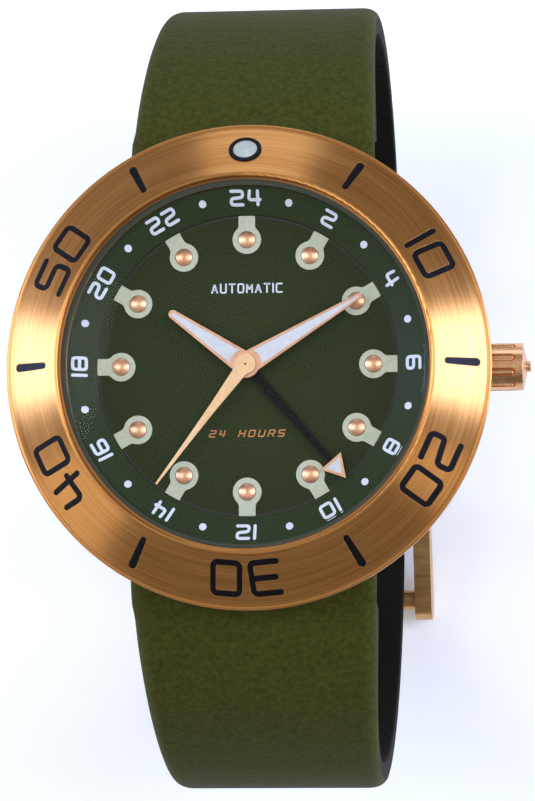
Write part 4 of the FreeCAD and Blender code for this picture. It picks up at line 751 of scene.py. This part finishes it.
def strap_half(bend_rad, end_angle):
    """Vertices and faces of one strap half on the 12 o'clock side."""
    # The lead lies over the case and the spring bar, and case_cutter trims it to the case.
    start_y, shelf = 17.2, BAR_Z + 2.0
    outer = strap_face(Vector((start_y, shoulder_top(start_y))), SIDE_Y, bend_rad, end_angle)
    inner = strap_face(Vector((22.4, 2.0)), SIDE_Y - STRAP_THICK, bend_rad - STRAP_THICK, end_angle)
    lead = [Vector((y, shelf)) for y in (start_y, 19.0, 20.8)]
    lead.append(Vector((22.1, shelf - 0.2)))
    beside = [Vector((y, shoulder_top(y))) for y in (start_y, 18.9, 20.6, 22.2)]
    first = next(i for i, spot in enumerate(outer) if spot.x > 23.4)
    outer_run = beside + outer[first:]
    inner_run = lead + resample(inner, len(outer) - first)
    rings = [section(a, b, half_width(a.y)) for a, b in zip(outer_run, inner_run)]
    return skin(rings)


def resample(spots, count):
    """The same polyline with another number of points, evenly spread by index."""
    out = []
    for step in range(count):
        place = step * (len(spots) - 1) / (count - 1)
        low = min(int(place), len(spots) - 2)
        out.append(spots[low].lerp(spots[low + 1], place - low))
    return out


def case_cutter():
    """The case middle's outside, a little larger, as a closed turned mesh."""
    foot, wide, side_rad, low, high = 18.9, 23.0, 24.3, 1.4, 9.0
    chord = Vector((wide - foot, high - low))
    side = Vector((-chord.y, chord.x)).normalized()
    reach = math.sqrt(side_rad ** 2 - chord.length ** 2 / 4)
    centre = Vector((foot, low)) + chord / 2 + side * reach
    wall = arc_run(centre, Vector((foot, low)), Vector((wide, high)), 10)
    axis, under, over = 0.01, -1, 9.75
    outline = [Vector((axis, under)), Vector((foot, under)), *wall]
    outline += [Vector((wide, over)), Vector((axis, over))]
    steps = 120
    rings = []
    for k in range(steps):
        angle = TURN * k / steps
        rings.append([(p.x * math.cos(angle), p.x * math.sin(angle), p.y) for p in outline])
    return loose_mesh("case_cutter", *skin(rings, loop=True))


def slot_cutter(bend_rad, degrees):
    """A round-ended slot with flared rims, through the tail at an angle."""
    half_long = (SLOT_LONG - SLOT_WIDE) / 2
    rings = []
    for height, flare in ((-3.0, 1.2), (-1.3, 0.16), (-1.05, 0.0), (1.05, 0.0), (1.3, 0.16), (3.0, 1.2)):
        ring = []
        for k in range(28):
            angle = TURN * (k + 0.5) / 28
            radius = SLOT_WIDE / 2 + flare
            across, along = radius * math.cos(angle), radius * math.sin(angle)
            along += math.copysign(half_long, along)
            _, y, z = on_bend(bend_rad - STRAP_THICK / 2, degrees, (across, along, height))
            ring.append((across, -y, z))
        rings.append(ring)
    return loose_mesh("slot_cutter", *skin(rings))


def tip_cutter(bend_rad):
    """What is trimmed from the tail's end to make it round."""
    half = STRAP_NARROW / 2
    round_rad = half + 0.6
    edge = []
    for step in range(25):
        angle = math.radians(5 + 170 * step / 24)
        edge.append((round_rad * math.cos(angle), round_rad * math.sin(angle) - round_rad))
    beside, beyond = half + 3, 4
    outline = edge + [(-beside, edge[-1][1]), (-beside, beyond), (beside, beyond), (beside, edge[0][1])]
    middle_rad = bend_rad - STRAP_THICK / 2
    rings = []
    for height in (-4.0, 4.0):
        rings.append([on_bend(middle_rad, TAIL_ANGLE, (*spot, height)) for spot in outline])
    return loose_mesh("tip_cutter", *skin(rings))


def strap_eye(name, side, body):
    """The moulded tongue between the lug ears, closed round the spring bar."""
    half = EAR_IN - 0.2
    profile = []
    for step in range(13):
        profile.append(on_circle((BAR_Y, BAR_Z), 1.5, math.radians(90 + 180 * step / 12)))
    profile += [(22.3, BAR_Z - 1.45), (23.3, BAR_Z - 0.9), (23.3, BAR_Z + 1.4), (22.0, BAR_Z + 1.8)]
    rings = [[(x, side * y, z) for y, z in profile] for x in (-half, half)]
    eye = add_mesh(name, *skin(rings), STRAP_RUBBER, body, "strap_rubber")
    add_bevel(eye, 0.25)


def add_bevel(piece, width):
    """Rounded edges of a width in millimetres."""
    bevel = piece.modifiers.new("edges", "BEVEL")
    bevel.width = width * MM
    bevel.segments = 3
    bevel.limit_method = "ANGLE"
    bevel.angle_limit = math.radians(40)


def buckle_fold():
    """The buckle half's moulded end round the bar, notched for the tang."""
    spot = polar(BEND_RAD - STRAP_THICK / 2, BUCKLE_ANGLE)
    half = STRAP_NARROW / 2
    rim = [on_circle(spot, STRAP_THICK / 2, TURN * k / 28) for k in range(28)]
    groups = []
    for ends in ((-half, -NOTCH_HALF), (NOTCH_HALF, half)):
        groups.append(skin([[(x, *point) for point in rim] for x in ends]))
    verts, faces = gather(groups)
    fold = add_mesh("buckle_fold", verts, faces, STRAP_RUBBER, "strap_upper", "strap_rubber")
    add_bevel(fold, 0.25)


def notch_cutter():
    """The tang's notch in the end of the buckle half."""
    back, front = -5, 2.9
    outline = [(-NOTCH_HALF, back), (NOTCH_HALF, back), (NOTCH_HALF, front), (-NOTCH_HALF, front)]
    middle_rad = BEND_RAD - STRAP_THICK / 2
    rings = []
    for height in (-3.0, 3.0):
        rings.append([on_bend(middle_rad, BUCKLE_ANGLE, (*spot, height)) for spot in outline])
    return loose_mesh("notch_cutter", *skin(rings))


def make_strap():
    """Both halves of the strap in place of their plain solids."""
    verts, faces = strap_half(BEND_RAD, BUCKLE_ANGLE + FOLD_START)
    upper = add_mesh("strap_upper_rubber", verts, faces, STRAP_RUBBER, "strap_upper", "strap_rubber")
    cut_away(upper, [case_cutter(), notch_cutter()])
    finish_mesh(upper, 35.0)
    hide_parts("strap_upper")
    bend_rad = BEND_RAD + STRAP_THICK + STRAP_GAP
    verts, faces = strap_half(bend_rad, -TAIL_ANGLE)
    mirrored = [(x, -y, z) for x, y, z in verts]
    lower = add_mesh("strap_lower_rubber", mirrored, faces, STRAP_RUBBER, "strap_lower", "strap_rubber")
    slots = [slot_cutter(bend_rad, -BUCKLE_ANGLE - step * SLOT_PITCH) for step in range(-2, 5)]
    cut_away(lower, [case_cutter(), tip_cutter(bend_rad), *slots])
    finish_mesh(lower, 35.0)
    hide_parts("strap_lower")
    strap_eye("strap_upper_eye", 1, "strap_upper")
    strap_eye("strap_lower_eye", -1, "strap_lower")
    buckle_fold()


def keeper_loop(name, node, body, start, gap):
    """A moulded loop round both layers, softly rounded outside."""
    span = math.degrees(KEEPER_WIDE / BEND_RAD)
    inner_rad = BEND_RAD - STRAP_THICK - gap
    outer_rad = BEND_RAD + 2 * STRAP_GAP + STRAP_THICK
    half = STRAP_NARROW / 2 + 0.3

    def oblong(extra, corner):
        """Corner points (x, radius) of the loop's hole grown by extra."""
        wide = half + extra - corner
        low, high = inner_rad - extra + corner, outer_rad + extra - corner
        spots = []
        for quarter, middle in enumerate(((wide, high), (-wide, high), (-wide, low), (wide, low))):
            for step in range(7):
                spots.append(on_circle(middle, corner, math.radians(quarter * 90 + step * 15)))
        return spots

    soft, corner = 0.3, 0.9
    rim = ((0.0, soft), (0.04, soft * 0.3), (0.09, 0.0))
    stations = [*rim, (0.5, 0.0), *((1 - share, inset) for share, inset in reversed(rim))]
    rings = []
    for share, inset in stations:
        outside = oblong(KEEPER_THICK - inset, corner - inset)
        rings.append([(x, *polar(radius, start + span * share)) for x, radius in outside])
    hole = oblong(0.0, 0.3)
    for share in (1.0, 0.5, 0.0):
        rings.append([(x, *polar(radius, start + span * share)) for x, radius in hole])
    loop = add_mesh(name, *skin(rings, loop=True), STRAP_RUBBER, body, "strap_rubber", 50.0)
    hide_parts(node)


# ---------------------------------------------------------------- studio


def softbox(name, clock, elevation, distance, wide, tall, power, colour=(1, 1, 1)):
    """An area light at a clock angle round the watch, aimed at the dial."""
    light = bpy.data.lights.new(name, "AREA")
    light.shape = "RECTANGLE"
    light.size, light.size_y = wide, tall
    light.energy = power
    light.color = colour
    lamp = bpy.data.objects.new(name, light)
    bpy.context.scene.collection.objects.link(lamp)
    turn, rise = math.radians(clock), math.radians(elevation)
    away = Vector((math.sin(turn) * math.cos(rise), math.cos(turn) * math.cos(rise), math.sin(rise)))
    target = Vector((0, 0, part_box("dial")[1].z))
    lamp.location = target + away * distance
    lamp.rotation_mode = "QUATERNION"
    lamp.rotation_quaternion = away.to_track_quat("Z", "Y")


def make_lights():
    """Soft studio light: panels low round the bezel, two large boxes above, and a pale room."""
    cool = (0.78, 1.0, 1.7)
    softbox("panel_right", 83, 17, 0.42, 0.20, 0.20, 0.95, cool)
    softbox("panel_left", 277, 17, 0.42, 0.15, 0.20, 0.72, cool)
    softbox("panel_top", 357, 19, 0.42, 0.19, 0.16, 0.20, (0.9, 1.0, 1.2))
    softbox("panel_low_left", 240, 17, 0.42, 0.18, 0.16, 0.13)
    softbox("panel_low_right", 118, 17, 0.42, 0.12, 0.16, 0.08)
    softbox("box_right", 80, 55, 0.62, 0.24, 0.36, 1.1)
    softbox("box_left", 280, 55, 0.62, 0.22, 0.36, 1.1)
    make_room()


def make_room():
    """A pale room, brighter towards the ceiling."""
    world = bpy.data.worlds.new("room")
    world.use_nodes = True
    tree = world.node_tree
    place = tree.nodes.new("ShaderNodeTexCoord")
    split = tree.nodes.new("ShaderNodeSeparateXYZ")
    rise = tree.nodes.new("ShaderNodeMapRange")
    rise.interpolation_type = "SMOOTHSTEP"
    for socket, value in (("From Min", 0.55), ("From Max", 0.98), ("To Min", 0.22), ("To Max", 0.62)):
        rise.inputs[socket].default_value = value
    background = tree.nodes["Background"]
    background.inputs["Color"].default_value = (1.0, 0.98, 0.96, 1)
    tree.links.new(place.outputs["Generated"], split.inputs[0])
    tree.links.new(split.outputs[2], rise.inputs["Value"])
    tree.links.new(rise.outputs[0], background.inputs["Strength"])
    bpy.context.scene.world = world


def make_floor():
    """A plain pale floor under the loop of the strap."""
    level = CAD_BOX[0].z / MM
    reach = 1500.0
    mesh = bpy.data.meshes.new("floor")
    corners = [(-reach, -reach, level), (reach, -reach, level), (reach, reach, level), (-reach, reach, level)]
    mesh.from_pydata([Vector(c) * MM for c in corners], [], [(0, 1, 2, 3)])
    mesh.materials.append(studio_floor())
    floor = bpy.data.objects.new("floor", mesh)
    bpy.context.scene.collection.objects.link(floor)


def make_camera():
    """A long lens almost straight above the dial, a little towards 4 and 5 o'clock."""
    camera = bpy.data.cameras.new("camera")
    camera.lens = 188.14
    camera.clip_start, camera.clip_end = 0.02, 10.0
    view = bpy.data.objects.new("camera", camera)
    bpy.context.scene.collection.objects.link(view)
    view.location = Vector((42.67, -42.06, 400.33)) * MM
    view.rotation_euler = [math.radians(angle) for angle in (5.64, 5.988, -0.119)]
    bpy.context.scene.camera = view


paint_nodes()
print_hour_ring()
print_dial()
print_stud_lines()
print_crystal_border()
hub_mark()
make_strap()
keeper_loop("keeper_fixed_loop", "keeper_fixed", "strap_upper", FIXED_KEEPER, 0.0)
keeper_loop("keeper_sliding_loop", "keeper_sliding", "keeper", SLIDING_KEEPER, STRAP_GAP)
make_floor()
make_lights()
make_camera()
bpy.context.scene.view_settings.view_transform = "Standard"
